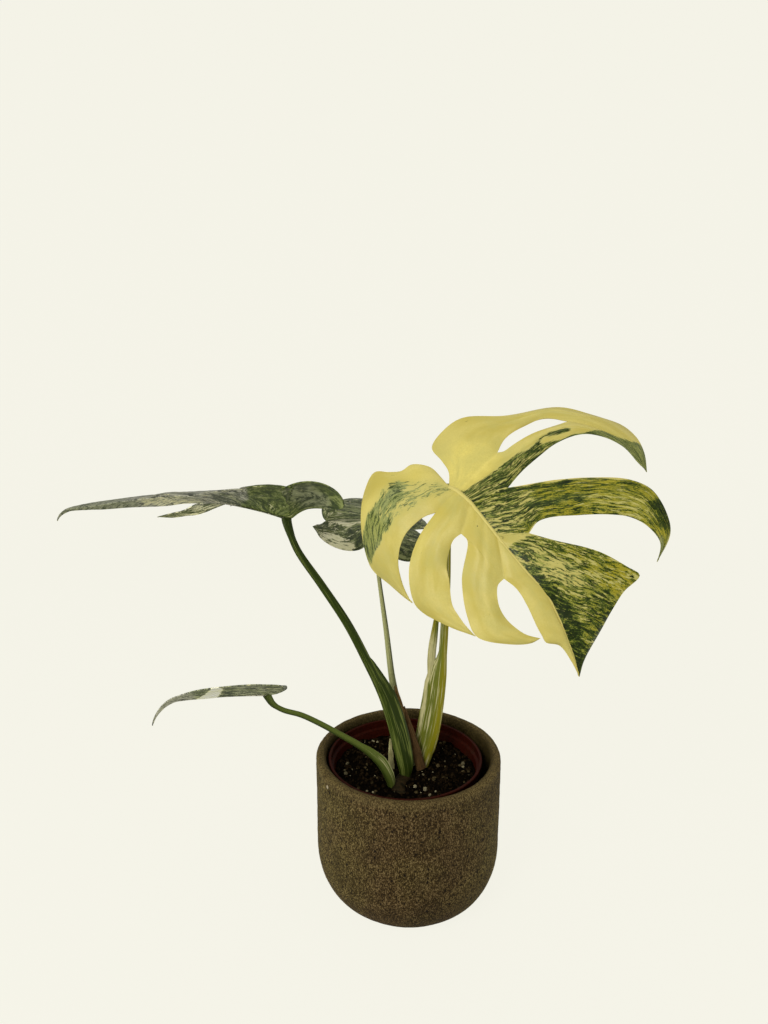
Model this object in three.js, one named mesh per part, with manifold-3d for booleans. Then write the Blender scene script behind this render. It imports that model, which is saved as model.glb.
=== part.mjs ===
// A young variegated monstera in a plastic growing pot, standing in a stoneware cover pot.
// Millimetres, +Z up. The origin is the centre of the cover pot's underside, and -Y is the front.
import * as THREE from "three";
import { mergeVertices } from "three/addons/utils/BufferGeometryUtils.js";
import Module from "manifold-3d";

const wasm = await Module();
wasm.setup();

// Driving sizes
const POT_RADIUS = 75;
const POT_HEIGHT = 120;
const POT_WALL = 8;
const POT_FLOOR = 8;
const POT_FOOT_INSET = 24; // how far the foot's flat lies inside the belly
const POT_FOOT_RISE = 42; // height at which the wall becomes upright
const LIP_ROUND = 3;
const GAP = 0.3; // between pieces that touch
const POT_SIDES = 48;

const NURSERY_RIM_RADIUS = 62.5;
const NURSERY_BASE_RADIUS = 43;
const NURSERY_RIM_BELOW_LIP = 4.5;
const NURSERY_WALL = 1.2;
const NURSERY_FLOOR = 1.5;
const NURSERY_TAPER_END = 2; // how far inside the rim the tapering wall ends
const NURSERY_BAND = 7; // height of the stepped band below the rim
const NURSERY_BEAD = 1; // the rim's bead stands out this far
const NURSERY_BEAD_HEIGHT = 1.2;
const NURSERY_SHIFT_X = -2.5; // it stands a little off centre
const DRAIN_RADIUS = 5;
const DRAIN_CIRCLE = 27;
const DRAIN_COUNT = 6;

const SOIL_BELOW_LIP = 17;
const SOIL_LUMP = 1.1;
const SOIL_RINGS = [44, 30, 15]; // radii at which its surface can rise and fall

const BLADE_THICKNESS = 0.8;
const WEB_STEPS = 3; // rows of facets between the midrib and the end of a slit
const LOBE_STEPS = 11; // rows from there to the lobe's tip
const CLOSED_STEPS = 3; // of them, the rows past a hole that is closed
const LOBE_COLUMNS = 4;
const FOLD_SPREAD = 0.55; // radians: how far round a stalk its sheath's fold reaches

const nurseryRimZ = POT_HEIGHT - NURSERY_RIM_BELOW_LIP;
const nurseryBaseZ = POT_FLOOR + GAP;
const soilZ = POT_HEIGHT - SOIL_BELOW_LIP;

const radians = THREE.MathUtils.degToRad;
const vector = ([x, y, z]) => new THREE.Vector3(x, y, z);

// Solids for cutting and joining

function solidOf(geometry) {
  const bare = geometry.clone();
  bare.deleteAttribute("normal");
  bare.deleteAttribute("uv");
  const merged = mergeVertices(bare, 1e-4);
  return new wasm.Manifold(
    new wasm.Mesh({
      numProp: 3,
      vertProperties: new Float32Array(merged.attributes.position.array),
      triVerts: new Uint32Array(merged.index.array),
    }),
  );
}

function geometryOf(solid) {
  const mesh = solid.getMesh();
  const geometry = new THREE.BufferGeometry();
  geometry.setAttribute("position", new THREE.BufferAttribute(mesh.vertProperties, 3));
  geometry.setIndex(new THREE.BufferAttribute(mesh.triVerts, 1));
  geometry.computeVertexNormals();
  return geometry;
}

function cutAway(geometry, cutters) {
  return geometryOf(cutters.reduce((solid, cutter) => solid.subtract(solidOf(cutter)), solidOf(geometry)));
}

function joined(geometries) {
  return geometryOf(geometries.map(solidOf).reduce((all, solid) => all.add(solid)));
}

function meshGeometry(points, triangles) {
  const geometry = new THREE.BufferGeometry();
  geometry.setAttribute("position", new THREE.Float32BufferAttribute(points.flatMap((p) => p.toArray()), 3));
  geometry.setIndex(triangles.flat());
  geometry.computeVertexNormals();
  return geometry;
}

// A body of revolution about Z from a closed outline of [radius, height] pairs.
function turned(outline, sides = POT_SIDES) {
  const profile = outline.map(([radius, height]) => new THREE.Vector2(radius, height));
  return new THREE.LatheGeometry(profile, sides).rotateX(Math.PI / 2);
}

// Pots and soil

// Quarter of an ellipse from the floor (angle 0) to the upright wall (angle 90).
function footCurve(wallRadius, inset, floorZ, wallZ, count) {
  return Array.from({ length: count + 1 }, (_, i) => {
    const angle = (Math.PI / 2) * (i / count);
    return [
      wallRadius - inset + inset * Math.sin(angle),
      wallZ - (wallZ - floorZ) * Math.cos(angle),
    ];
  });
}

function lipCurve(centreRadius, halfWidth, height, round, count) {
  return Array.from({ length: count + 1 }, (_, i) => {
    const angle = Math.PI * (i / count);
    return [centreRadius + halfWidth * Math.cos(angle), height - round + round * Math.sin(angle)];
  });
}

function coverPot() {
  const innerRadius = POT_RADIUS - POT_WALL;
  const outside = footCurve(POT_RADIUS, POT_FOOT_INSET, 0, POT_FOOT_RISE, 7);
  const inside = footCurve(innerRadius, POT_FOOT_INSET - 2, POT_FLOOR, POT_FOOT_RISE, 4).reverse();
  const lip = lipCurve(POT_RADIUS - POT_WALL / 2, POT_WALL / 2, POT_HEIGHT, LIP_ROUND, 5);
  return turned([[0, 0], ...outside, ...lip, ...inside, [0, POT_FLOOR], [0, 0]]);
}

function nurseryWallRadius(z) {
  const t = (z - nurseryBaseZ) / (nurseryRimZ - nurseryBaseZ);
  return THREE.MathUtils.lerp(NURSERY_BASE_RADIUS, NURSERY_RIM_RADIUS - NURSERY_TAPER_END, t);
}

function nurseryPot() {
  const bandZ = nurseryRimZ - NURSERY_BAND;
  const beadZ = nurseryRimZ - NURSERY_BEAD_HEIGHT;
  const bandRadius = NURSERY_RIM_RADIUS - NURSERY_BEAD;
  const floorTop = nurseryBaseZ + NURSERY_FLOOR;
  const shell = turned([
    [0, nurseryBaseZ],
    [NURSERY_BASE_RADIUS, nurseryBaseZ],
    [nurseryWallRadius(bandZ), bandZ],
    [bandRadius, bandZ],
    [bandRadius, beadZ],
    [NURSERY_RIM_RADIUS, beadZ],
    [NURSERY_RIM_RADIUS, nurseryRimZ],
    [bandRadius - NURSERY_WALL, nurseryRimZ],
    [bandRadius - NURSERY_WALL, bandZ + NURSERY_WALL],
    [nurseryWallRadius(bandZ) - NURSERY_WALL, bandZ],
    [NURSERY_BASE_RADIUS - NURSERY_WALL, floorTop],
    [0, floorTop],
    [0, nurseryBaseZ],
  ]);
  const drains = Array.from({ length: DRAIN_COUNT }, (_, i) => {
    const angle = (i / DRAIN_COUNT) * Math.PI * 2;
    return new THREE.CylinderGeometry(DRAIN_RADIUS, DRAIN_RADIUS, NURSERY_FLOOR * 4, 12)
      .rotateX(Math.PI / 2)
      .translate(DRAIN_CIRCLE * Math.cos(angle), DRAIN_CIRCLE * Math.sin(angle), nurseryBaseZ);
  });
  return cutAway(shell, drains).translate(NURSERY_SHIFT_X, 0, 0);
}

function soilHeight(x, y) {
  return soilZ + SOIL_LUMP * (Math.sin(x / 7 + 1) * Math.cos(y / 8) + 0.6 * Math.sin((x + y) / 4.3));
}

function soilBody() {
  const bandZ = nurseryRimZ - NURSERY_BAND;
  const clear = NURSERY_WALL + GAP;
  const bottomZ = nurseryBaseZ + NURSERY_FLOOR + GAP;
  const body = turned([
    [0, bottomZ],
    [nurseryWallRadius(bottomZ) - clear, bottomZ],
    [nurseryWallRadius(soilZ) - clear, soilZ],
    ...SOIL_RINGS.map((radius) => [radius, soilZ]),
    [0, soilZ],
    [0, bottomZ],
  ]);
  if (soilZ > bandZ) throw new Error("the soil must end below the pot's band");
  const places = body.attributes.position;
  for (let i = 0; i < places.count; i++) {
    if (places.getZ(i) > soilZ - 0.1) {
      places.setZ(i, soilHeight(places.getX(i), places.getY(i)));
    }
  }
  return body.translate(NURSERY_SHIFT_X, 0, 0);
}

// Stalks

// A tapering stalk through points, from its base up. widths lists [share of its length, half width].
// wing adds a sheath's fold that stands out towards a direction: [direction, [share, height] pairs].
function stalk({ points, widths, depth = 1, wing, sides = 12, steps = 19 }, grow = 0) {
  const curve = new THREE.CatmullRomCurve3(points.map(vector), false, "centripetal");
  const facing = vector(wing ? wing.towards : [1, 0, 0]).normalize();
  const rings = [];
  for (let i = 0; i <= steps; i++) {
    const t = i / steps;
    const tangent = curve.getTangentAt(t);
    const out = facing.clone().addScaledVector(tangent, -facing.dot(tangent)).normalize();
    const side = tangent.clone().cross(out);
    const centre = curve.getPointAt(t);
    if (i === 0) centre.addScaledVector(tangent, -grow);
    if (i === steps) centre.addScaledVector(tangent, grow);
    const width = valueAlong(widths, t);
    const fold = wing ? valueAlong(wing.heights, t) : 0;
    const ring = Array.from({ length: sides }, (_, k) => {
      const angle = (k / sides) * Math.PI * 2;
      const off = Math.min(angle, Math.PI * 2 - angle);
      const reach = width + grow + fold * Math.exp(-((off / FOLD_SPREAD) ** 2));
      return centre
        .clone()
        .addScaledVector(out, reach * Math.cos(angle))
        .addScaledVector(side, (width * depth + grow) * Math.sin(angle));
    });
    rings.push(ring);
  }
  return tubeOf(rings);
}

function stalkBody(route, grow = 0) {
  if (!route.freeSheath) return stalk(route, grow);
  return joined([stalk(route, grow), stalk(route.freeSheath, grow)]);
}

function valueAlong(pairs, t) {
  const next = pairs.findIndex(([share]) => share >= t);
  if (next <= 0) return pairs[next < 0 ? pairs.length - 1 : 0][1];
  const [t0, v0] = pairs[next - 1];
  const [t1, v1] = pairs[next];
  return THREE.MathUtils.lerp(v0, v1, (t - t0) / (t1 - t0));
}

function tubeOf(rings) {
  const sides = rings[0].length;
  const points = rings.flat();
  const triangles = [];
  for (let i = 0; i + 1 < rings.length; i++) {
    for (let k = 0; k < sides; k++) {
      const a = i * sides + k;
      const b = i * sides + ((k + 1) % sides);
      triangles.push([a, b, b + sides], [a, b + sides, a + sides]);
    }
  }
  const last = (rings.length - 1) * sides;
  for (let k = 1; k + 1 < sides; k++) {
    triangles.push([0, k + 1, k], [last, last + k, last + k + 1]);
  }
  return meshGeometry(points, triangles);
}

// Blades

// A blade is drawn flat first: [along, across] in mm, along the midrib from the stalk's joint,
// and across to the side that lies on the left when one looks from the joint to the tip.
// Then it is bent: the midrib is an arc, and each half slopes and droops away from it.
function arc(startAngle, bend, length) {
  if (Math.abs(bend) < 1e-6) return [Math.cos(startAngle) * length, Math.sin(startAngle) * length];
  const endAngle = startAngle + bend * length;
  return [
    (Math.sin(endAngle) - Math.sin(startAngle)) / bend,
    (Math.cos(startAngle) - Math.cos(endAngle)) / bend,
  ];
}

function bladeAxes({ heading, dip, roll }) {
  const [h, d, r] = [heading, dip, roll].map(radians);
  const along = new THREE.Vector3(Math.cos(h) * Math.cos(d), Math.sin(h) * Math.cos(d), -Math.sin(d));
  const level = new THREE.Vector3(-Math.sin(h), Math.cos(h), 0);
  const lifted = along.clone().cross(level);
  const across = level.multiplyScalar(Math.cos(r)).addScaledVector(lifted, Math.sin(r));
  return { along, across, up: along.clone().cross(across) };
}

// How far the midrib sways sideways from a straight line.
function midribOffset({ sway = 0, swaySpan = 1 }, along) {
  return sway * Math.sin(Math.PI * Math.max(0, along / swaySpan));
}

// Two arcs, one after the other: how far forward and down they lead, and the angle reached.
function twoArcs(startAngle, bend, until, laterBend, length) {
  const first = Math.abs(length) < Math.abs(until) ? length : until;
  const middleAngle = startAngle + bend * first;
  const [x1, z1] = arc(startAngle, bend, first);
  const [x2, z2] = arc(middleAngle, laterBend, length - first);
  return [x1 + x2, z1 + z2, middleAngle + laterBend * (length - first)];
}

// The midrib bends evenly and curls near its tip. Behind the joint the base has a bend of its own.
function midribArc({ ribBend, curlFrom, curl, baseBend, baseUntil = -100, baseRest = 0 }, along) {
  if (along > 0) return twoArcs(0, ribBend, curlFrom, curl, along);
  return twoArcs(0, baseBend, baseUntil, baseRest, along);
}

// How steeply a half falls away from the midrib, in degrees: at its base, further on, and at its tip.
function halfSlope({ length, twistFrom = 0, twistTo = 1 }, { baseSlope, slope, tipSlope }, along) {
  const share = THREE.MathUtils.smoothstep(along, 0, length * 0.45);
  const twist = ((tipSlope ?? slope) - slope) * THREE.MathUtils.smoothstep(along, twistFrom, twistTo);
  return THREE.MathUtils.lerp(baseSlope ?? slope, slope, share) + twist;
}

function bladePoint(blade, axes, [u, v], lift) {
  const [forward, fall, turn] = midribArc(blade, u);
  const rib = midribOffset(blade, u);
  const half = v > rib ? blade.leftHalf : blade.rightHalf;
  const slope = radians(halfSlope(blade, half, u));
  const [reach, sink] = twoArcs(slope, half.bend, half.droopFrom, half.droop, Math.abs(v - rib));
  const out = rib + Math.sign(v - rib) * reach;
  const normal = axes.along.clone().multiplyScalar(Math.sin(turn)).addScaledVector(axes.up, Math.cos(turn));
  return vector(blade.joint)
    .addScaledVector(axes.along, forward)
    .addScaledVector(axes.up, -fall)
    .addScaledVector(axes.across, out)
    .addScaledVector(normal, lift - sink);
}

function spacedAlong(points, count) {
  const places = points.map(([u, v]) => new THREE.Vector3(u, v, 0));
  const curve = new THREE.CatmullRomCurve3(places, false, "centripetal");
  return curve.getSpacedPoints(count).map((p) => [p.x, p.y]);
}

// The two edges of every lobe of a half, each a row of points from the midrib to the lobe's tip.
function lobeEdges(blade, half) {
  const steps = WEB_STEPS + LOBE_STEPS;
  const onRib = (u) => [u, midribOffset(blade, u)];
  const stations = blade.stations.map(onRib);
  const slitSide = (slit, station, side, tip) => {
    const web = spacedAlong([station, slit.root], WEB_STEPS).slice(0, -1);
    if (!slit.closed) return [...web, ...spacedAlong([slit.root, ...side, tip], LOBE_STEPS)];
    const open = spacedAlong([slit.root, ...side, slit.closed[0]], LOBE_STEPS - CLOSED_STEPS).slice(0, -1);
    return [...web, ...open, ...spacedAlong([...slit.closed, tip], CLOSED_STEPS)];
  };
  const tips = [...half.tips, onRib(blade.length)];
  const lobes = [];
  let near = spacedAlong([stations[0], ...half.baseEdge, tips[0]], steps);
  half.slits.forEach((slit, i) => {
    lobes.push([near, slitSide(slit, stations[i + 1], slit.before, tips[i])]);
    near = slitSide(slit, stations[i + 1], slit.after, tips[i + 1]);
  });
  const ribStart = blade.stations[half.slits.length + 1];
  const rib = Array.from({ length: steps + 1 }, (_, i) =>
    onRib(THREE.MathUtils.lerp(ribStart, blade.length, i / steps)),
  );
  lobes.push([near, rib]);
  return lobes;
}

// One closed sheet. A rise above and a depth below the drawn surface set its two faces.
function bladeSheet(blade, rise = 0, depth = BLADE_THICKNESS) {
  const axes = bladeAxes(blade);
  const places = new Map();
  const points = [];
  const triangles = [];
  const place = ([u, v], lift) => {
    const key = u.toFixed(3) + " " + v.toFixed(3);
    if (!places.has(key)) {
      places.set(key, points.length);
      points.push(bladePoint(blade, axes, [u, v], lift));
    }
    return places.get(key);
  };
  for (const half of [blade.leftHalf, blade.rightHalf]) {
    for (const [near, far] of lobeEdges(blade, half)) {
      const rows = near.map((from, j) => {
        const swell = half.pleat * Math.sqrt(Math.max(0, Math.sin((Math.PI * j) / (near.length - 1))));
        return Array.from({ length: LOBE_COLUMNS + 1 }, (_, k) => {
          const share = k / LOBE_COLUMNS;
          const flat = [0, 1].map((n) => THREE.MathUtils.lerp(from[n], far[j][n], share));
          return place(flat, swell * Math.sin(Math.PI * share));
        });
      });
      const turnedOver = half === blade.rightHalf;
      for (let j = 0; j + 1 < rows.length; j++) {
        for (let k = 0; k < LOBE_COLUMNS; k++) {
          const [a, b, c, d] = [rows[j][k], rows[j + 1][k], rows[j + 1][k + 1], rows[j][k + 1]];
          for (const corners of [[a, c, b], [a, d, c]]) {
            if (new Set(corners).size === 3) triangles.push(turnedOver ? corners.reverse() : corners);
          }
        }
      }
    }
  }
  return thickened(points, triangles, rise, depth);
}

function thickened(points, triangles, rise, depth) {
  const normals = points.map(() => new THREE.Vector3());
  for (const [a, b, c] of triangles) {
    const face = points[b].clone().sub(points[a]).cross(points[c].clone().sub(points[a]));
    [a, b, c].forEach((i) => normals[i].add(face));
  }
  normals.forEach((n) => n.normalize());
  const top = points.map((p, i) => p.clone().addScaledVector(normals[i], rise));
  const bottom = points.map((p, i) => p.clone().addScaledVector(normals[i], -depth));
  const count = points.length;
  const edges = new Set(triangles.flatMap(([a, b, c]) => [[a, b], [b, c], [c, a]].map((e) => e.join())));
  const faces = triangles.flatMap(([a, b, c]) => [[a, b, c], [c + count, b + count, a + count]]);
  for (const edge of edges) {
    const [a, b] = edge.split(",").map(Number);
    if (!edges.has(b + "," + a)) faces.push([b, a, a + count], [b, a + count, b + count]);
  }
  return meshGeometry([...top, ...bottom], faces);
}

const mirrored = (points) => points.map(([u, v]) => [u, -v]);

function mirroredHalf(half) {
  return {
    ...half,
    baseEdge: mirrored(half.baseEdge),
    tips: mirrored(half.tips),
    slits: half.slits.map((slit) => ({
      root: mirrored([slit.root])[0],
      before: mirrored(slit.before),
      after: mirrored(slit.after),
    })),
  };
}

// In each half the lobes run from the base to the tip of the blade. baseEdge is the edge of the first,
// from the joint round to its tip, each slit parts two lobes, and the last lobe ends at the midrib.

// The big blade: front right, cream on one half, with a closed hole near its base
const bigBlade = {
  joint: [27.4, -20, 343.1],
  heading: -57,
  dip: 30,
  roll: 24,
  ribBend: 0.004,
  curlFrom: 140,
  curl: 0.004,
  baseBend: -0.004,
  length: 162,
  sway: 15,
  swaySpan: 186,
  stations: [0, 6, 20, 52, 66],
  leftHalf: {
    slope: -8,
    bend: 0,
    droopFrom: 85,
    droop: 0.012,
    pleat: 2.2,
    tips: [[64, 125], [64, 125], [120, 92]],
    baseEdge: [[-12, 7], [-24, 8], [-38, 8], [-47, 25], [-48, 41], [-32, 67], [-15, 106], [0, 123],
      [18, 143], [32, 144], [48, 137]],
    slits: [
      {
        root: [-5, 45],
        before: [[-12, 56], [-14, 70], [-12, 86], [-8, 93]],
        after: [[-3, 49], [-4, 59], [-3, 76], [0, 94]],
        closed: [[2, 104], [18, 119], [40, 129]],
      },
      {
        root: [25, 34],
        before: [[19, 51], [16, 67], [14, 85], [19, 109], [38, 123], [54, 124]],
        after: [[39, 67], [48, 86], [65, 110], [78, 119], [97, 117], [108, 111]],
      },
      {
        root: [62, 27],
        before: [[58, 38], [68, 64], [78, 82], [87, 94], [97, 100], [110, 101]],
        after: [[76, 40], [97, 62], [114, 73], [122, 77], [127, 60], [142, 34], [154, 15]],
      },
    ],
  },
  rightHalf: {
    slope: 8,
    bend: 0.006,
    droopFrom: 40,
    droop: 0.018,
    pleat: 3,
    tips: [[53, -77], [106, -42], [128, -4]],
    baseEdge: [[-11, 0], [-24, -2], [-34, -12], [-34, -21], [-39, -29], [-46, -38], [-40, -51], [-20, -74],
      [4, -90], [25, -86], [44, -81]],
    slits: [
      {
        root: [12, -19],
        before: [[9, -30], [13, -50], [23, -64], [41, -75]],
        after: [[21, -41], [36, -62], [55, -75], [65, -73], [89, -57]],
      },
      {
        root: [37, -13],
        before: [[38, -20], [50, -33], [61, -38], [77, -45], [91, -45]],
        after: [[44, -12], [66, -30], [91, -40], [107, -41], [122, -24], [128, -11]],
      },
      {
        root: [81, -5],
        before: [[83, -11], [94, -17], [107, -17], [120, -12]],
        after: [[91, -1.5], [105, -1], [121, -2], [127, -2], [132, -2], [138, 5], [150, 7]],
      },
    ],
  },
};

// The left blade: held out level and tilted back, so that it is seen nearly edge on from the front
const leftDrawing = {
  tips: [[36, 51], [96, 46]],
  baseEdge: [[-14, 4], [-28, 7], [-38, 18], [-39.5, 33], [-31, 49], [-13, 60], [6, 61], [22, 56]],
  slits: [
    {
      root: [28, 26],
      before: [[30, 34], [33, 43]],
      after: [[33, 34], [38, 44], [52, 50], [66, 54], [80, 53]],
    },
    {
      root: [68, 20],
      before: [[76, 27], [86, 38]],
      after: [[82, 24], [96, 31], [112, 31], [134, 24], [154, 13], [168, 5]],
    },
  ],
};
const leftBlade = {
  joint: [-95.8, 18, 310.8],
  heading: 180,
  dip: -19.2,
  roll: 20,
  ribBend: 0.0034,
  curlFrom: 165,
  curl: 0.07,
  twistFrom: 80,
  twistTo: 140,
  baseBend: -0.16,
  baseUntil: -6,
  baseRest: 0.04,
  length: 180,
  stations: [0, 14, 50, 84],
  leftHalf: {
    ...leftDrawing,
    baseSlope: -20.5,
    slope: 0,
    tipSlope: 12,
    bend: 0.002,
    droopFrom: 40,
    droop: 0.01,
    pleat: 2,
  },
  rightHalf: mirroredHalf({
    tips: [[50, 46], [110, 51]],
    baseEdge: [[-10, 3], [-20, 8], [-24, 20], [-18, 34], [-4, 44], [14, 48], [34, 49]],
    slits: [
      { root: [28, 22], before: [[34, 30], [42, 39]], after: [[40, 30], [57, 41], [77, 51], [96, 55]] },
      {
        root: [68, 20],
        before: [[75, 31], [91, 46]],
        after: [[82, 23], [98, 29], [114, 29], [134, 23], [154, 13], [168, 5]],
      },
    ],
    baseSlope: -27,
    slope: 1,
    tipSlope: 7.5,
    bend: 0.001,
    droopFrom: 28,
    droop: 0.019,
    pleat: 1.5,
  }),
};

// The back blade: behind the big one, arched over and leaning to the right
const backDrawing = {
  tips: [[16, 58], [70, 44]],
  baseEdge: [[-10, 4], [-22, 6], [-30, 14], [-28, 26], [-19, 38], [-6, 49], [6, 56]],
  slits: [
    { root: [9, 36], before: [[8, 44], [11, 52]], after: [[15, 43], [24, 50], [38, 54], [55, 51]] },
    { root: [42, 16], before: [[50, 24], [60, 34]], after: [[54, 22], [68, 28], [84, 24], [100, 12]] },
  ],
};
const backBlade = {
  joint: [-27, 68, 293],
  heading: 92,
  dip: -25,
  roll: 12,
  ribBend: 0.01,
  curlFrom: 100,
  curl: 0.01,
  baseBend: 0.002,
  length: 116,
  stations: [0, 6, 32, 56],
  leftHalf: {
    ...backDrawing,
    tips: [[15, 56], [66, 38]],
    baseEdge: [[-10, 4], [-22, 6], [-30, 14], [-29, 26], [-21, 38], [-8, 48], [6, 53]],
    slits: [
      { root: [15, 43], before: [[14, 48], [14.5, 52]], after: [[20, 45], [28, 46], [38, 46], [55, 44]] },
      { root: [42, 16], before: [[50, 23], [60, 31]], after: [[54, 22], [68, 28], [84, 24], [100, 12]] },
    ],
    baseSlope: 15,
    slope: 7,
    bend: 0.002,
    droopFrom: 25,
    droop: 0.014,
    pleat: 2,
  },
  rightHalf: mirroredHalf({
    ...backDrawing,
    baseEdge: [[-10, 4], [-24, 6], [-34, 14], [-35, 28], [-26, 42], [-10, 52], [4, 57]],
    slope: 6,
    bend: 0.002,
    droopFrom: 30,
    droop: 0.008,
    pleat: 2,
  }),
};

// The small blade: low on the left, an undivided heart whose tip curls down
const smallDrawing = {
  tips: [],
  baseEdge: [[-8, 2], [-15, 8], [-15, 18], [-5, 28], [14, 32], [36, 28], [58, 18], [78, 6]],
  slits: [],
};
const smallBlade = {
  joint: [-110.1, -26, 182.2],
  heading: 180,
  dip: 0,
  roll: 28,
  ribBend: 0.002,
  curlFrom: 66,
  curl: 0.043,
  baseBend: -0.02,
  length: 95,
  stations: [0, 6],
  leftHalf: { ...smallDrawing, baseSlope: -14, slope: -12, bend: 0, droopFrom: 20, droop: 0.012, pleat: 1 },
  rightHalf: mirroredHalf({
    ...smallDrawing,
    baseSlope: -18,
    slope: -8,
    bend: 0,
    droopFrom: 16,
    droop: 0.014,
    pleat: 1,
  }),
};

// Routes of the stalks, from the creeping stem up to the blade's joint
const bigPetiole = {
  points: [[11.5, 6, 100], [15, 7, 113], [19.5, 8, 129], [24.5, 11, 159], [27.5, 12, 194], [28.9, 11, 229],
    [29.3, 8, 263], [28.6, 2, 297], [28.3, -12, 331], [27.5, -19.2, 343.4]],
  widths: [[0, 4.5], [0.08, 6], [0.2, 5.4], [0.33, 4.6], [0.4, 3.4], [0.5, 3.2], [0.9, 3.1], [1, 4]],
  depth: 0.85,
  wing: {
    towards: [-1, 0.15, 0],
    heights: [[0, 0], [0.04, 3], [0.1, 7], [0.2, 8], [0.3, 7.8], [0.36, 5], [0.385, 1.5], [0.41, 0], [1, 0]],
  },
  sides: 16,
  // The upper end of its sheath, which stands free of the stalk
  freeSheath: {
    points: [[18.5, 12.8, 178], [17.9, 12.9, 192.5], [18.2, 12.8, 204.4], [19.9, 12.8, 211.2],
      [21.6, 12.8, 223.9], [23.3, 12.9, 239.9]],
    widths: [[0, 2.8], [0.3, 2.8], [0.7, 2.3], [1, 1.4]],
    depth: 0.35,
    sides: 10,
    steps: 12,
  },
};
const leftPetiole = {
  points: [[-3, -11, 100], [-3.5, -10, 110], [-7, -7, 125], [-12.3, -3, 146], [-19, 0, 166], [-32, 3, 194],
    [-48.6, 8, 226], [-68.8, 12, 257], [-88, 15, 285.6], [-94.2, 16.5, 301.6], [-96.2, 17.8, 309.5]],
  widths: [[0, 3.5], [0.05, 6], [0.12, 7.4], [0.25, 5.4], [0.38, 3.8], [0.7, 3.2], [0.93, 2.7], [1, 4]],
  depth: 0.75,
  wing: {
    towards: [1, 0, 0.2],
    heights: [[0, 0], [0.03, 2], [0.08, 4.5], [0.15, 6], [0.3, 6], [0.37, 4], [0.43, 1], [0.46, 0], [1, 0]],
  },
  sides: 16,
};
const backPetiole = {
  points: [[2.6, 4.6, 100], [1.8, 5.6, 112], [-2, 8, 128], [-8, 13, 150], [-12.8, 20, 172], [-18, 36, 210],
    [-24, 52, 250], [-28, 64, 281], [-27.3, 67, 290.5]],
  widths: [[0, 4], [0.1, 4.6], [0.4, 2.6], [0.75, 1.7], [0.95, 1.6], [1, 2.6]],
};
const smallPetiole = {
  points: [[-14, -25, 100], [-15.5, -24.8, 109], [-21.5, -24, 121], [-34, -23.5, 134],
    [-57.1, -24, 149.5], [-70.9, -25, 158.3], [-83.8, -26, 165.3], [-97.5, -26, 169.5],
    [-105.1, -26, 174.5], [-109.6, -26, 182.4]],
  widths: [[0, 2.6], [0.1, 3.4], [0.25, 2.8], [0.5, 2.2], [0.9, 1.9], [1, 3.2]],
  wing: { towards: [0.6, 0, 1], heights: [[0, 0], [0.08, 1.5], [0.2, 3], [0.3, 1.2], [0.35, 0], [1, 0]] },
  sides: 14,
};

// The creeping stem, half sunk in the soil, and the thick roots under it
const stem = {
  points: [[-6, -36, 98], [-9, -27, 99], [-6, -15, 99], [1, -3, 98], [10, 5, 97], [20, 9, 95]],
  widths: [[0, 4.5], [0.12, 6.6], [0.85, 6.6], [1, 4]],
  sides: 14,
  steps: 14,
};
const ROOT_COUNT = 5;
const ROOT_WIDTH = 1.8;

function rootRoute(i) {
  const angle = (i / ROOT_COUNT) * Math.PI * 2 + 0.4;
  const [x, y] = [Math.cos(angle), Math.sin(angle)];
  return {
    points: [[-4 + 3 * x, -10 + 8 * y, 97], [-4 + 9 * x, -8 + 14 * y, 84], [-3 + 22 * x, -4 + 24 * y, 62],
      [-2 + 26 * x, 27 * y, 38]],
    widths: [[0, ROOT_WIDTH + 0.8], [0.3, ROOT_WIDTH], [1, 0.8]],
    sides: 7,
    steps: 7,
  };
}
const roots = Array.from({ length: ROOT_COUNT }, (_, i) => rootRoute(i));

// Dry bracts at the foot of the stalks: curved scales that end in a point
const bracts = {
  bract_front: { foot: [10.5, -3, 105], tip: [-3.6, 4, 157], halfWidth: 4.6, facing: [0.35, -1, 0.1] },
  bract_middle: { foot: [4, 0.5, 112], tip: [-11, 14.5, 170], halfWidth: 3.4, facing: [0.55, -0.85, 0] },
  bract_pale: { foot: [-13.5, -2, 105], tip: [-14.6, -1, 131], halfWidth: 3, facing: [-0.3, -1, 0.2] },
};
const BRACT_THICKNESS = 0.8;

function bractSheet({ foot, tip, halfWidth, facing }) {
  const rows = 8;
  const columns = 4;
  const start = vector(foot);
  const rise = vector(tip).sub(start);
  const out = vector(facing).normalize();
  const across = rise.clone().cross(out).normalize();
  const points = [];
  for (let j = 0; j <= rows; j++) {
    const t = j / rows;
    const width = j === rows ? 0 : halfWidth * (0.75 + 0.5 * t) * Math.sqrt(1 - t);
    for (let k = 0; k <= (j === rows ? 0 : columns); k++) {
      const share = j === rows ? 0 : (2 * k) / columns - 1;
      points.push(
        start
          .clone()
          .addScaledVector(rise, t)
          .addScaledVector(across, width * share)
          .addScaledVector(out, 0.45 * width * (1 - share * share) + 2 * t * (1 - t)),
      );
    }
  }
  const triangles = [];
  for (let j = 0; j < rows; j++) {
    for (let k = 0; k < columns; k++) {
      const a = j * (columns + 1) + k;
      const peak = rows * (columns + 1);
      if (j === rows - 1) triangles.push([a, a + 1, peak]);
      else triangles.push([a, a + 1, a + columns + 2], [a, a + columns + 2, a + columns + 1]);
    }
  }
  return thickened(points, triangles.map((t) => t.reverse()), 0, BRACT_THICKNESS);
}

// Assembly

function material(color, roughness) {
  return new THREE.MeshStandardMaterial({ color, roughness, metalness: 0 });
}

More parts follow.
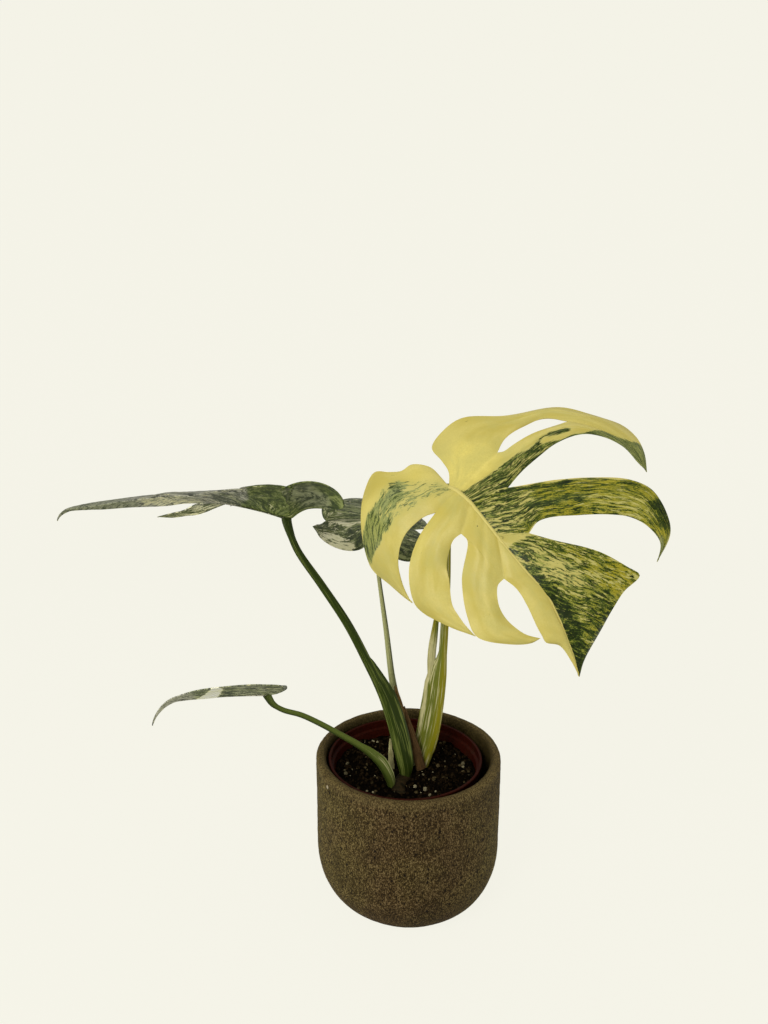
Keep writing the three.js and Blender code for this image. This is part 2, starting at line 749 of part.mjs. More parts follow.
const stoneware = material(0x4f4630, 0.85);
const redPlastic = material(0x3a1512, 0.5);
const pottingSoil = material(0x14110d, 0.95);
const stemSkin = material(0x4a4a2a, 0.7);
const greenStalk = material(0x4d6130, 0.5);
const creamBlade = material(0xc9bd62, 0.45);
const greenBlade = material(0x3f5230, 0.45);
const dryBract = material(0x5a4330, 0.8);
const paleBract = material(0xb5b489, 0.7);

const plant = new THREE.Group();

function add(name, geometry, finish) {
  const mesh = new THREE.Mesh(geometry, finish);
  mesh.name = name;
  plant.add(mesh);
}

const petioles = {
  petiole_big: [bigPetiole, bigBlade],
  petiole_left: [leftPetiole, leftBlade],
  petiole_back: [backPetiole, backBlade],
  petiole_small: [smallPetiole, smallBlade],
};
const stemRoom = stalk(stem, GAP);
const bladeRoom = (blade) => bladeSheet(blade, GAP, BLADE_THICKNESS + GAP);

// The room above a stalk's end, from just under the blade's joint upwards.
function roomAbove(blade) {
  const { up } = bladeAxes(blade);
  const size = 12;
  const centre = vector(blade.joint).addScaledVector(up, size / 2 - BLADE_THICKNESS - GAP);
  return new THREE.CylinderGeometry(size, size, size, 16)
    .applyQuaternion(new THREE.Quaternion().setFromUnitVectors(new THREE.Vector3(0, 1, 0), up))
    .translate(...centre.toArray());
}

const stalkRooms = Object.values(petioles).map(([route]) => stalkBody(route, GAP));

add("outer_pot", coverPot(), stoneware);
add("nursery_pot", nurseryPot(), redPlastic);
add(
  "soil",
  cutAway(soilBody(), [
    stemRoom,
    ...roots.map((root) => stalk(root, GAP)),
    ...stalkRooms,
  ]),
  pottingSoil,
);
add("stem", joined([stalk(stem), ...roots.map((root) => stalk(root))]), stemSkin);
for (const [name, [route, blade]] of Object.entries(petioles)) {
  add(name, cutAway(stalkBody(route), [stemRoom, bladeRoom(blade), roomAbove(blade)]), greenStalk);
}
add("blade_big", bladeSheet(bigBlade), creamBlade);
add("blade_left", bladeSheet(leftBlade), greenBlade);
add("blade_back", bladeSheet(backBlade), greenBlade);
add("blade_small", bladeSheet(smallBlade), greenBlade);
for (const [name, bract] of Object.entries(bracts)) {
  const finish = name === "bract_pale" ? paleBract : dryBract;
  add(name, cutAway(bractSheet(bract), [stemRoom, ...stalkRooms]), finish);
}

export default plant;
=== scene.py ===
import functools
import math
import random

import bpy
import numpy as np
from mathutils import Matrix, Vector


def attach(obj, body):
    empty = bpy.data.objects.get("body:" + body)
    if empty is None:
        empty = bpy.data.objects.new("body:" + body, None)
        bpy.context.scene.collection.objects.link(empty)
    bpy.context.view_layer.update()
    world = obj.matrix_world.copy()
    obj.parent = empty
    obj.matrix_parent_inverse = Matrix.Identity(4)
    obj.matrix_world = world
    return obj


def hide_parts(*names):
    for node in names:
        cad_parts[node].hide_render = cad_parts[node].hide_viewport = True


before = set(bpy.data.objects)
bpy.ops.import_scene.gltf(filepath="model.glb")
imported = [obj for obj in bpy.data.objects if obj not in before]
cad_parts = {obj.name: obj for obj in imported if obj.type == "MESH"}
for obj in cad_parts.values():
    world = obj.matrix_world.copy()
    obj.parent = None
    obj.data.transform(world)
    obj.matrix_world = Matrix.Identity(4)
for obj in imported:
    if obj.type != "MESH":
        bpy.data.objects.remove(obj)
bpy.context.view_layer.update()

# Sizes in millimetres, as in the CAD source
POT_RADIUS, POT_HEIGHT, POT_WALL, POT_FLOOR = 75.0, 120.0, 8.0, 8.0
POT_FOOT_INSET, POT_FOOT_RISE, LIP_ROUND = 24.0, 42.0, 3.0
NURSERY_RIM_RADIUS, NURSERY_BASE_RADIUS = 62.5, 43.0
NURSERY_RIM_Z, NURSERY_BASE_Z = 115.5, 8.3
NURSERY_WALL, NURSERY_FLOOR, NURSERY_TAPER_END = 1.2, 1.5, 2.0
NURSERY_BAND, NURSERY_BEAD, NURSERY_BEAD_HEIGHT = 7.0, 1.0, 1.2
NURSERY_SHIFT_X = -2.5
DRAIN_RADIUS, DRAIN_CIRCLE, DRAIN_COUNT = 5.0, 27.0, 6
SOIL_Z, SOIL_LUMP = 103.0, 1.1

# Finer sizes in millimetres, only of this scene. A skin is given as its lumps' widths and heights
POT_SKIN = (26, 0.5), (5, 0.25), (1.6, 0.22)
SOIL_SKIN = (5.0, 1.6), (2.2, 1.5), (1.1, 0.7)
EDGE_ROUND, RIM_ROUND = 0.3, 0.4
BLADE_THICKNESS, SCALE_THICKNESS = 0.7, 0.7
VEIN_SPACING, RIPPLE_LENGTH = 7.5, 8.5
ROOT_WIDTH = 1.8

# How far a fold spreads round its stalk, in radians
FOLD_SPREAD = 0.55

# Rows of a lobe, times its blade's fineness: up to the slits' roots, from there to the tip, and past a hole
WEB_STEPS, LOBE_STEPS, CLOSED_STEPS = 3, 11, 3

# How finely the pots and the soil are turned, and how many pits, loose bits and roots there are
POT_SIDES, NURSERY_SIDES, SOIL_SIDES = 384, 192, 288
FOOT_STEPS, INNER_FOOT_STEPS, LIP_STEPS, SOIL_RINGS = 36, 20, 16, 72
PIT_COUNT, CRUMB_COUNT, SMALL_PERLITE_COUNT, ROOT_COUNT = 150, 850, 50, 5

# What sets the streaks of the two halves of a blade apart
SIDE_SHIFT = 500

# In metres: the stoneware's one chip, where its lip's colour begins, and where the painted shade on its inner
# wall ends
CHIP = (-0.0632, -0.0403, 0.1122)
LIP_FADE = (0.1125, 0.1165)
INNER_SHADE_FADE = (0.0675, 0.0705)

# Stage and camera
BACKDROP = (0.905, 0.893, 0.800, 1.0)
FLOOR_Z, BOWL_RADIUS, BOWL_ROUND = -0.5, 1100, 600
CAMERA_LENS, CAMERA_PLACE, CAMERA_TILT = 27.04, (-0.0198, -0.568, 0.452), 76.9

chance = random.Random(7)


# Numbers and noise

def smoothstep(x, low, high):
    t = np.clip((x - low) / (high - low), 0, 1)
    return t * t * (3 - 2 * t)


def unit(v):
    return v / np.maximum(np.linalg.norm(v, axis=-1, keepdims=True), 1e-12)


def value_noise(points, size, seed=0):
    """Smooth noise from 0 to 1 whose lumps are about size wide."""
    scaled = np.asarray(points, float) / size
    cell = np.floor(scaled).astype(np.int64)
    ease = scaled - cell
    ease = ease * ease * (3 - 2 * ease)
    total = np.zeros(scaled.shape[:-1])
    for corner in np.ndindex(2, 2, 2):
        at = cell + corner
        draw = at[..., 0] * 374761393 + at[..., 1] * 668265263 + at[..., 2] * 1274126177
        draw = (draw + seed * 974634777) & 0xFFFFFFFF
        draw = ((draw ^ (draw >> 13)) * 1103515245) & 0xFFFFFFFF
        share = np.prod(np.where(corner, ease, 1 - ease), axis=-1)
        total += share * ((draw ^ (draw >> 16)) & 0xFFFF) / 65535.0
    return total


def lumpy(points, skin, seed):
    """How far a skin's lumps rise or sink."""
    return sum((value_noise(points, skin[i][0], seed + i) - 0.5) * skin[i][1] for i in range(len(skin)))


def value_along(pairs, t):
    return np.interp(t, [p[0] for p in pairs], [p[1] for p in pairs])


def spaced_curve(points, count):
    """Evenly spaced points on a centripetal Catmull-Rom curve through the given ones."""
    given = np.array(points, float)
    given = np.vstack([2 * given[0] - given[1], given, 2 * given[-1] - given[-2]])
    fine = []
    for i in range(1, len(given) - 2):
        a, b, c, d = given[i - 1 : i + 3]
        ab, bc, cd = (max(np.linalg.norm(y - x), 1e-9) ** 0.5 for x, y in ((a, b), (b, c), (c, d)))
        start = ((b - a) / ab - (c - a) / (ab + bc) + (c - b) / bc) * bc
        end = ((c - b) / bc - (d - b) / (bc + cd) + (d - c) / cd) * bc
        w = np.linspace(0, 1, 81)[1 if fine else 0 :, None]
        square, cube = 3 * (c - b) - 2 * start - end, 2 * (b - c) + start + end
        fine.append(b + start * w + square * w**2 + cube * w**3)
    fine = np.vstack(fine)
    run = np.concatenate([[0], np.cumsum(np.linalg.norm(np.diff(fine, axis=0), axis=1))])
    at = np.linspace(0, run[-1], count + 1)
    return np.stack([np.interp(at, run, fine[:, k]) for k in range(given.shape[1])], 1)


def from_outline(places, outline):
    """Distance from flat places to a closed outline, negative inside it."""
    outline = np.asarray(outline, float)
    nearest = np.full(len(places), 1e9)
    inside = np.zeros(len(places), bool)
    for a, b in zip(outline, np.roll(outline, -1, 0)):
        nearest = np.minimum(nearest, from_segment(places, a, b))
        spans = (a[1] > places[:, 1]) != (b[1] > places[:, 1])
        with np.errstate(divide="ignore", invalid="ignore"):
            cross = a[0] + (places[:, 1] - a[1]) / (b[1] - a[1]) * (b[0] - a[0])
        inside ^= spans & (places[:, 0] < cross)
    return np.where(inside, -nearest, nearest)


def from_segment(places, a, b):
    a, b = np.asarray(a, float), np.asarray(b, float)
    t = np.clip((places - a) @ (b - a) / max((b - a) @ (b - a), 1e-9), 0, 1)
    return np.linalg.norm(places - (a + t[:, None] * (b - a)), axis=1)


def from_line(places, line):
    return np.min([from_segment(places, a, b) for a, b in zip(line, line[1:])], axis=0)


# Meshes

def mesh_object(name, points, faces, facts=None, sharp=40):
    """A mesh in millimetres, with named per-vertex numbers for its material."""
    mesh = bpy.data.meshes.new(name)
    mesh.from_pydata((np.asarray(points, float) / 1000).tolist(), [], faces)
    for key, values in (facts or {}).items():
        attribute = mesh.attributes.new(key, "FLOAT", "POINT")
        attribute.data.foreach_set("value", np.asarray(values, np.float32))
    mesh.polygons.foreach_set("use_smooth", [True] * len(mesh.polygons))
    mesh.set_sharp_from_angle(angle=math.radians(sharp))
    mesh.update()
    made = bpy.data.objects.new(name, mesh)
    bpy.context.scene.collection.objects.link(made)
    return made


def merged(parts):
    """Several (points, faces, facts) as one."""
    points, faces, count = [], [], 0
    for part_points, part_faces, _ in parts:
        points.append(np.asarray(part_points))
        faces += [tuple(i + count for i in face) for face in part_faces]
        count += len(part_points)
    keys = sorted({key for _, _, facts in parts for key in facts})
    facts = {
        key: np.concatenate([np.broadcast_to(f.get(key, 0.0), len(p)).astype(float) for p, _, f in parts])
        for key in keys
    }
    return np.vstack(points), faces, facts


def grid_faces(rows):
    """Faces between neighbouring rows of point numbers. Corners that are the same point count once."""
    faces = []
    for low, high in zip(rows, rows[1:]):
        for k in range(len(low) - 1):
            face = tuple(dict.fromkeys((low[k], low[k + 1], high[k + 1], high[k])))
            if len(face) > 2:
                faces.append(face)
    return faces


def turned(outline, sides):
    """Rings of an outline of (radius, height) pairs turned about Z. Pairs on the axis become one point."""
    points, rows = [], []
    for radius, height in outline:
        angles = np.linspace(0, 2 * math.pi, sides, endpoint=False) if radius else [0.0]
        row = list(range(len(points), len(points) + len(angles)))
        rows.append(row + row[:1] if radius else row * (sides + 1))
        points += [(radius * math.cos(a), radius * math.sin(a), height) for a in angles]
    return np.array(points, float), grid_faces(rows)


def rings_round(centre, out, aside, out_reach, aside_reach):
    """Rings about a line, each given by how far it reaches in two directions."""
    outwards = out[:, None, :] * out_reach[..., None]
    return centre[:, None, :] + outwards + aside[:, None, :] * aside_reach[..., None]


def tube(rings):
    """A closed tube through rings of points."""
    count, sides = rings.shape[:2]
    ids = np.arange(count * sides).reshape(count, sides).tolist()
    faces = grid_faces([row + row[:1] for row in ids])
    return rings.reshape(-1, 3), [*faces, tuple(ids[0][::-1]), tuple(ids[-1])]


def subdivided(outline, spacing):
    """An outline with points added so that none lie further apart than spacing."""
    out = [outline[0]]
    for a, b in zip(outline, outline[1:]):
        steps = max(1, math.ceil(math.dist(a, b) / spacing))
        out += [tuple(np.array(a) + (np.array(b) - np.array(a)) * i / steps) for i in range(1, steps + 1)]
    return out


def vertex_normals(points, faces):
    normals = np.zeros_like(points)
    for size in (3, 4):
        chosen = np.array([face for face in faces if len(face) == size])
        if not len(chosen):
            continue
        corners = points[chosen]
        across = corners[:, 2] - corners[:, 0]
        if size == 3:
            normal = np.cross(corners[:, 1] - corners[:, 0], across)
        else:
            normal = np.cross(across, corners[:, 3] - corners[:, 1])
        for k in range(size):
            np.add.at(normals, chosen[:, k], normal)
    return unit(normals)


def thickened(points, faces, facts, depth):
    """A closed sheet whose upper face is the given surface."""
    normals = vertex_normals(points, faces)
    count = len(points)
    edges = dict.fromkeys(edge for face in faces for edge in zip(face, face[1:] + face[:1]))
    closed = list(faces) + [tuple(i + count for i in reversed(face)) for face in faces]
    closed += [(b, a, a + count, b + count) for a, b in edges if (b, a) not in edges]
    both = {key: np.concatenate([v, v]) for key, v in facts.items()}
    both["under"] = np.concatenate([np.zeros(count), np.ones(count)])
    return np.vstack([points, points - normals * depth]), closed, both


# Blades: drawn flat, then bent

def arc(start, bend, length):
    """How far along and how far down an evenly bending line gets in a length, from its first slope."""
    if abs(bend) < 1e-6:
        return np.cos(start) * length, np.sin(start) * length
    end = start + bend * length
    return (np.sin(end) - np.sin(start)) / bend, (np.cos(start) - np.cos(end)) / bend


def two_arcs(start, bend, until, later_bend, length):
    """The same for a line that bends otherwise after a first length, with its last slope."""
    first = np.where(np.abs(length) < abs(until), length, until)
    middle = start + bend * first
    x1, z1 = arc(start, bend, first)
    x2, z2 = arc(middle, later_bend, length - first)
    return x1 + x2, z1 + z2, middle + later_bend * (length - first)


def rib_offset(blade, u):
    """How far aside the midrib sways on the flat blade."""
    return blade.get("sway", 0) * np.sin(np.pi * np.maximum(0, u / blade.get("sway_span", 1)))


def rib_line(blade, u):
    """Where the midrib and the two halves' seam run on the flat blade."""
    return value_along(blade["rib_line"], u) if "rib_line" in blade else rib_offset(blade, u)


def blade_point(blade, u, v, lift=0.0):
    """Where a flat place of the blade lies in the pot's frame."""
    u, v = np.asarray(u, float), np.asarray(v, float)
    heading, dip, roll = (math.radians(blade[key]) for key in ("heading", "dip", "roll"))
    flat = math.cos(dip)
    along = np.array([math.cos(heading) * flat, math.sin(heading) * flat, -math.sin(dip)])
    level = np.array([-math.sin(heading), math.cos(heading), 0.0])
    across = level * math.cos(roll) + np.cross(along, level) * math.sin(roll)
    up = np.cross(along, across)
    ahead = two_arcs(0.0, blade["rib_bend"], blade["curl_from"], blade["curl"], np.maximum(u, 0))
    behind = two_arcs(
        0.0, blade["base_bend"], blade.get("base_until", -100), blade.get("base_rest", 0), np.minimum(u, 0)
    )
    forward, fall, turn = (np.where(u > 0, a, b) for a, b in zip(ahead, behind))
    rib = rib_offset(blade, u)
    side = np.sign(v - rib)
    share = smoothstep(u, 0, blade["length"] * 0.45)
    twist = smoothstep(u, blade.get("twist_from", 0), blade.get("twist_to", 1))
    out, sunk = np.zeros_like(u + v), np.zeros_like(u + v)
    for half, here in ((blade["left"], side > 0), (blade["right"], side <= 0)):
        base, tip = half.get("base_slope", half["slope"]), half.get("tip_slope", half["slope"])
        slope = np.radians(base + (half["slope"] - base) * share + (tip - half["slope"]) * twist)
        reach, sink, _ = two_arcs(slope, half["bend"], half["droop_from"], half["droop"], np.abs(v - rib))
        out, sunk = np.where(here, reach, out), np.where(here, sink, sunk)
    normal = along * np.sin(turn)[..., None] + up * np.cos(turn)[..., None]
    return (
        np.array(blade["joint"])
        + along * forward[..., None]
        - up * fall[..., None]
        + across * (rib + side * out)[..., None]
        + normal * (lift - sunk)[..., None]
    )


def lobe_edges(blade, half, fine):
    """The two flat edges of every lobe of a half, each a row of points from the midrib to the lobe's tip."""
    web, lobe, shut = WEB_STEPS * fine, LOBE_STEPS * fine, CLOSED_STEPS * fine

    def on_rib(u):
        return [u, float(rib_line(blade, u))]

    def slit_side(slit, station, side, tip):
        start = spaced_curve([station, *slit["root"]], web)[:-1]
        if "closed" not in slit:
            return np.vstack([start, spaced_curve([*slit["root"], *side, tip], lobe)])
        free = spaced_curve([*slit["root"], *side, slit["closed"][0]], lobe - shut)[:-1]
        return np.vstack([start, free, spaced_curve([*slit["closed"], tip], shut)])

    stations = [on_rib(u) for u in blade["stations"]]
    tips = [*half["tips"], on_rib(blade["length"])]
    lobes = []
    near = spaced_curve([stations[0], *half["base_edge"], tips[0]], web + lobe)
    for i, slit in enumerate(half["slits"]):
        lobes.append((near, slit_side(slit, stations[i + 1], slit["before"], tips[i])))
        near = slit_side(slit, stations[i + 1], slit["after"], tips[i + 1])
    us = np.linspace(blade["stations"][len(half["slits"]) + 1], blade["length"], web + lobe + 1)
    lobes.append((near, np.stack([us, rib_line(blade, us)], 1)))
    return lobes


def lobe_relief(near, far, half, fine, columns, wave, rays):
    """How far a lobe's surface rises: its pleat, sunken veins and wavy margin."""
    rows = len(near)
    share = np.linspace(0, 1, columns + 1)[None, :]
    way = np.linspace(0, 1, rows)[:, None]
    width = np.linalg.norm(far - near, axis=1)[:, None]
    middle = (near + far) / 2
    run = np.concatenate([[0], np.cumsum(np.linalg.norm(np.diff(middle, axis=0), axis=1))])[:, None]
    off = (share - 0.5) * width
    body = np.sqrt(np.maximum(0, np.sin(np.pi * way)))
    pleat = half["pleat"] * body * np.sin(np.pi * share)
    crease, crease_width = half.get("crease", 0.45), half.get("crease_width", 1.1)
    main_vein = np.exp(-((off / crease_width) ** 2)) * smoothstep(width, 3, 9)
    fan = (0.5 + 0.5 * np.cos((share + 0.05 * np.sin(9 * share)) * 2 * np.pi * rays)) ** 10 * (rays > 0)
    fan = fan * smoothstep(way, 0.03, 0.08) * (1 - smoothstep(way, 0.12, 0.4))
    side_veins = 0.5 + 0.5 * np.cos((run - 0.75 * np.abs(off)) * 2 * np.pi / VEIN_SPACING)
    inner = np.sin(np.pi * share) ** 0.5
    free = smoothstep(way * rows, WEB_STEPS * fine, (WEB_STEPS + 3) * fine) * (1 - smoothstep(way, 0.72, 0.8))
    ripple = wave * np.sin(run / RIPPLE_LENGTH + 2.0 * near[0, 0]) * np.abs(2 * share - 1) ** 4 * free
    ribbing = half.get("ribbing", 0.16) * (side_veins - 0.5) * inner * body
    lift = pleat - crease * main_vein * body + ribbing + ripple - 0.14 * fan
    thin_vein = np.exp(-((off / 1.1) ** 2)) * smoothstep(width, 3, 9)
    fact = {
        "vein": np.maximum(thin_vein * (0.3 + 0.7 * (1 - way)), 0.7 * fan) * half.get("veined", 1.0),
        "side_vein": (1 - side_veins) ** 3 * inner * half.get("veined", 1.0) * np.ones_like(way),
    }
    return lift, fact


def half_sheet(blade, half, side, fine, columns):
    """One half of a blade as an open surface, with flat places and streak coordinates for its material."""
    lookup, points, faces, facts = {}, [], [], {}
    lobes = lobe_edges(blade, half, fine)
    for index, (near, far) in enumerate(lobes):
        rows = len(near)
        share = np.linspace(0, 1, columns + 1)
        flat = near[:, None, :] * (1 - share)[None, :, None] + far[:, None, :] * share[None, :, None]
        rays = half.get("rays", 0) if index == 0 else 0
        lift, fact = lobe_relief(near, far, half, fine, columns, blade.get("wave", 0.8), rays)
        placed = blade_point(blade, flat[..., 0], flat[..., 1], lift)
        ids = np.zeros((rows, columns + 1), int).tolist()
        across = (index + share)[None, :] * blade["lobe_width"] * np.ones((rows, 1))
        along = np.linspace(0, 1, rows)[:, None] * blade["lobe_length"] * np.ones((1, columns + 1))
        if index == len(lobes) - 1:
            grain = math.radians(blade.get("tip_grain", 40))
            u, v = flat[..., 0], np.abs(flat[..., 1])
            sine, cosine = math.sin(grain), math.cos(grain)
            across, along = u * sine - v * cosine, u * cosine + v * sine
        values = {"flat_u": flat[..., 0], "flat_v": flat[..., 1], "along": along, **fact}
        values["across"] = across + SIDE_SHIFT * side
        for r in range(rows):
            for c in range(columns + 1):
                key = (round(flat[r, c, 0], 3), round(flat[r, c, 1], 3))
                if key not in lookup:
                    lookup[key] = len(points)
                    points.append(placed[r, c])
                    for name, value in values.items():
                        facts.setdefault(name, []).append(value[r, c])
                ids[r][c] = lookup[key]
        faces += [face[::side] for face in grid_faces(ids)]
    return np.array(points), faces, {key: np.array(value) for key, value in facts.items()}


def midrib(blade, width, steps=90, sides=12):
    """The raised rib, from the joint to the tip, with its larger swell on the underside."""
    us = np.linspace(0, blade["length"] * 0.985, steps + 1)
    vs = rib_line(blade, us)
    centre = blade_point(blade, us, vs)
    above = blade_point(blade, us, vs, 1.0) - centre
    tangent = unit(np.gradient(centre, axis=0))
    aside = unit(np.cross(tangent, above))
    reach = width * (1 - 0.82 * (us / blade["length"]) ** 0.8)
    angle = np.linspace(0, 2 * math.pi, sides, endpoint=False)
    high = np.where(np.sin(angle) > 0, 0.75, 1.0)[None, :] * np.sin(angle)[None, :] * reach[:, None]
    wide = np.cos(angle)[None, :] * reach[:, None]
    points, faces = tube(rings_round(centre, aside, unit(above), wide, high - 0.15))
    flat_u, flat_v = np.repeat(us, sides), np.repeat(vs, sides)
    facts = {"flat_u": flat_u, "flat_v": flat_v, "along": flat_u, "rib": np.ones(len(points))}
    return points, faces, {**facts, "across": np.tile(np.cos(angle), steps + 1) * 2}


def painted(blade, flat_u, flat_v, rib, on_left):
    """Green cover, darkness, greyness (partly a painted sheen) and tint at flat places, from the blade's
    painted areas.
    """
    places = np.stack([flat_u, flat_v], 1)
    values = {key: np.full(len(places), float(value)) for key, value in blade["ground"].items()}
    edge_noise = value_noise(np.stack([flat_u, flat_v, 0 * flat_u], 1), 5.0, 3) - 0.5
    everywhere = np.ones(len(places))
    painted_areas = [(one, everywhere) for one in blade["areas"]]
    painted_areas += [(one, on_left) for one in blade.get("left_areas", [])]
    for one, allowed in painted_areas:
        if "outline" in one:
            distance = from_outline(places, one["outline"])
        else:
            distance = from_line(places, one["line"]) - one["reach"]
        soft = one["soft"]
        share = allowed * (1 - smoothstep(distance + edge_noise * soft, -soft, soft))
        for key in values:
            if key in one:
                values[key] += (one[key] - values[key]) * share
    values["green"] *= 1 - rib * (1 - blade.get("rib_green", 0.1))
    return values


def blade_object(name, blade, fine, columns):
    """A whole blade: its two halves with their thickness, and its midrib."""
    parts = []
    for side, half in ((1, blade["left"]), (-1, blade["right"])):
        points, faces, facts = half_sheet(blade, half, side, fine, columns)
        parts.append(thickened(points, faces, facts, BLADE_THICKNESS))
    parts.append(midrib(blade, blade["rib_width"]))
    points, faces, facts = merged(parts)
    on_left = (facts["across"] > SIDE_SHIFT / 2).astype(float)
    facts.update(painted(blade, facts.pop("flat_u"), facts.pop("flat_v"), facts["rib"], on_left))
    return mesh_object(name, points, faces, facts, sharp=60)


def drawn(text):
    """Points drawn: commas between the numbers of a point, spaces between the points."""
    return [[float(number) for number in point.split(",")] for point in text.split()]


def area(outline, soft, **paint):
    """What a closed outline with soft edges changes in the paint under it."""
    return {"outline": drawn(outline), "soft": soft, **paint}


def band(line, reach, soft, **paint):
    """The same within reach of a line."""
    return {"line": drawn(line), "reach": reach, "soft": soft, **paint}


def slit(root, before, after, closed=None):
    """A slit from its root to the margin, by its two sides, and where it closes again if it does."""
    made = {"root": drawn(root), "before": drawn(before), "after": drawn(after)}
    return {**made, "closed": drawn(closed)} if closed else made


def mirrored(points):
    return [[u, -v] for u, v in points]


def mirrored_half(half):
    """A half drawn on the left side, for the right one."""
    slits = [{key: mirrored(points) for key, points in one.items()} for one in half["slits"]]
    edge, tips = mirrored(half["base_edge"]), mirrored(half["tips"])
    return {**half, "base_edge": edge, "tips": tips, "slits": slits}


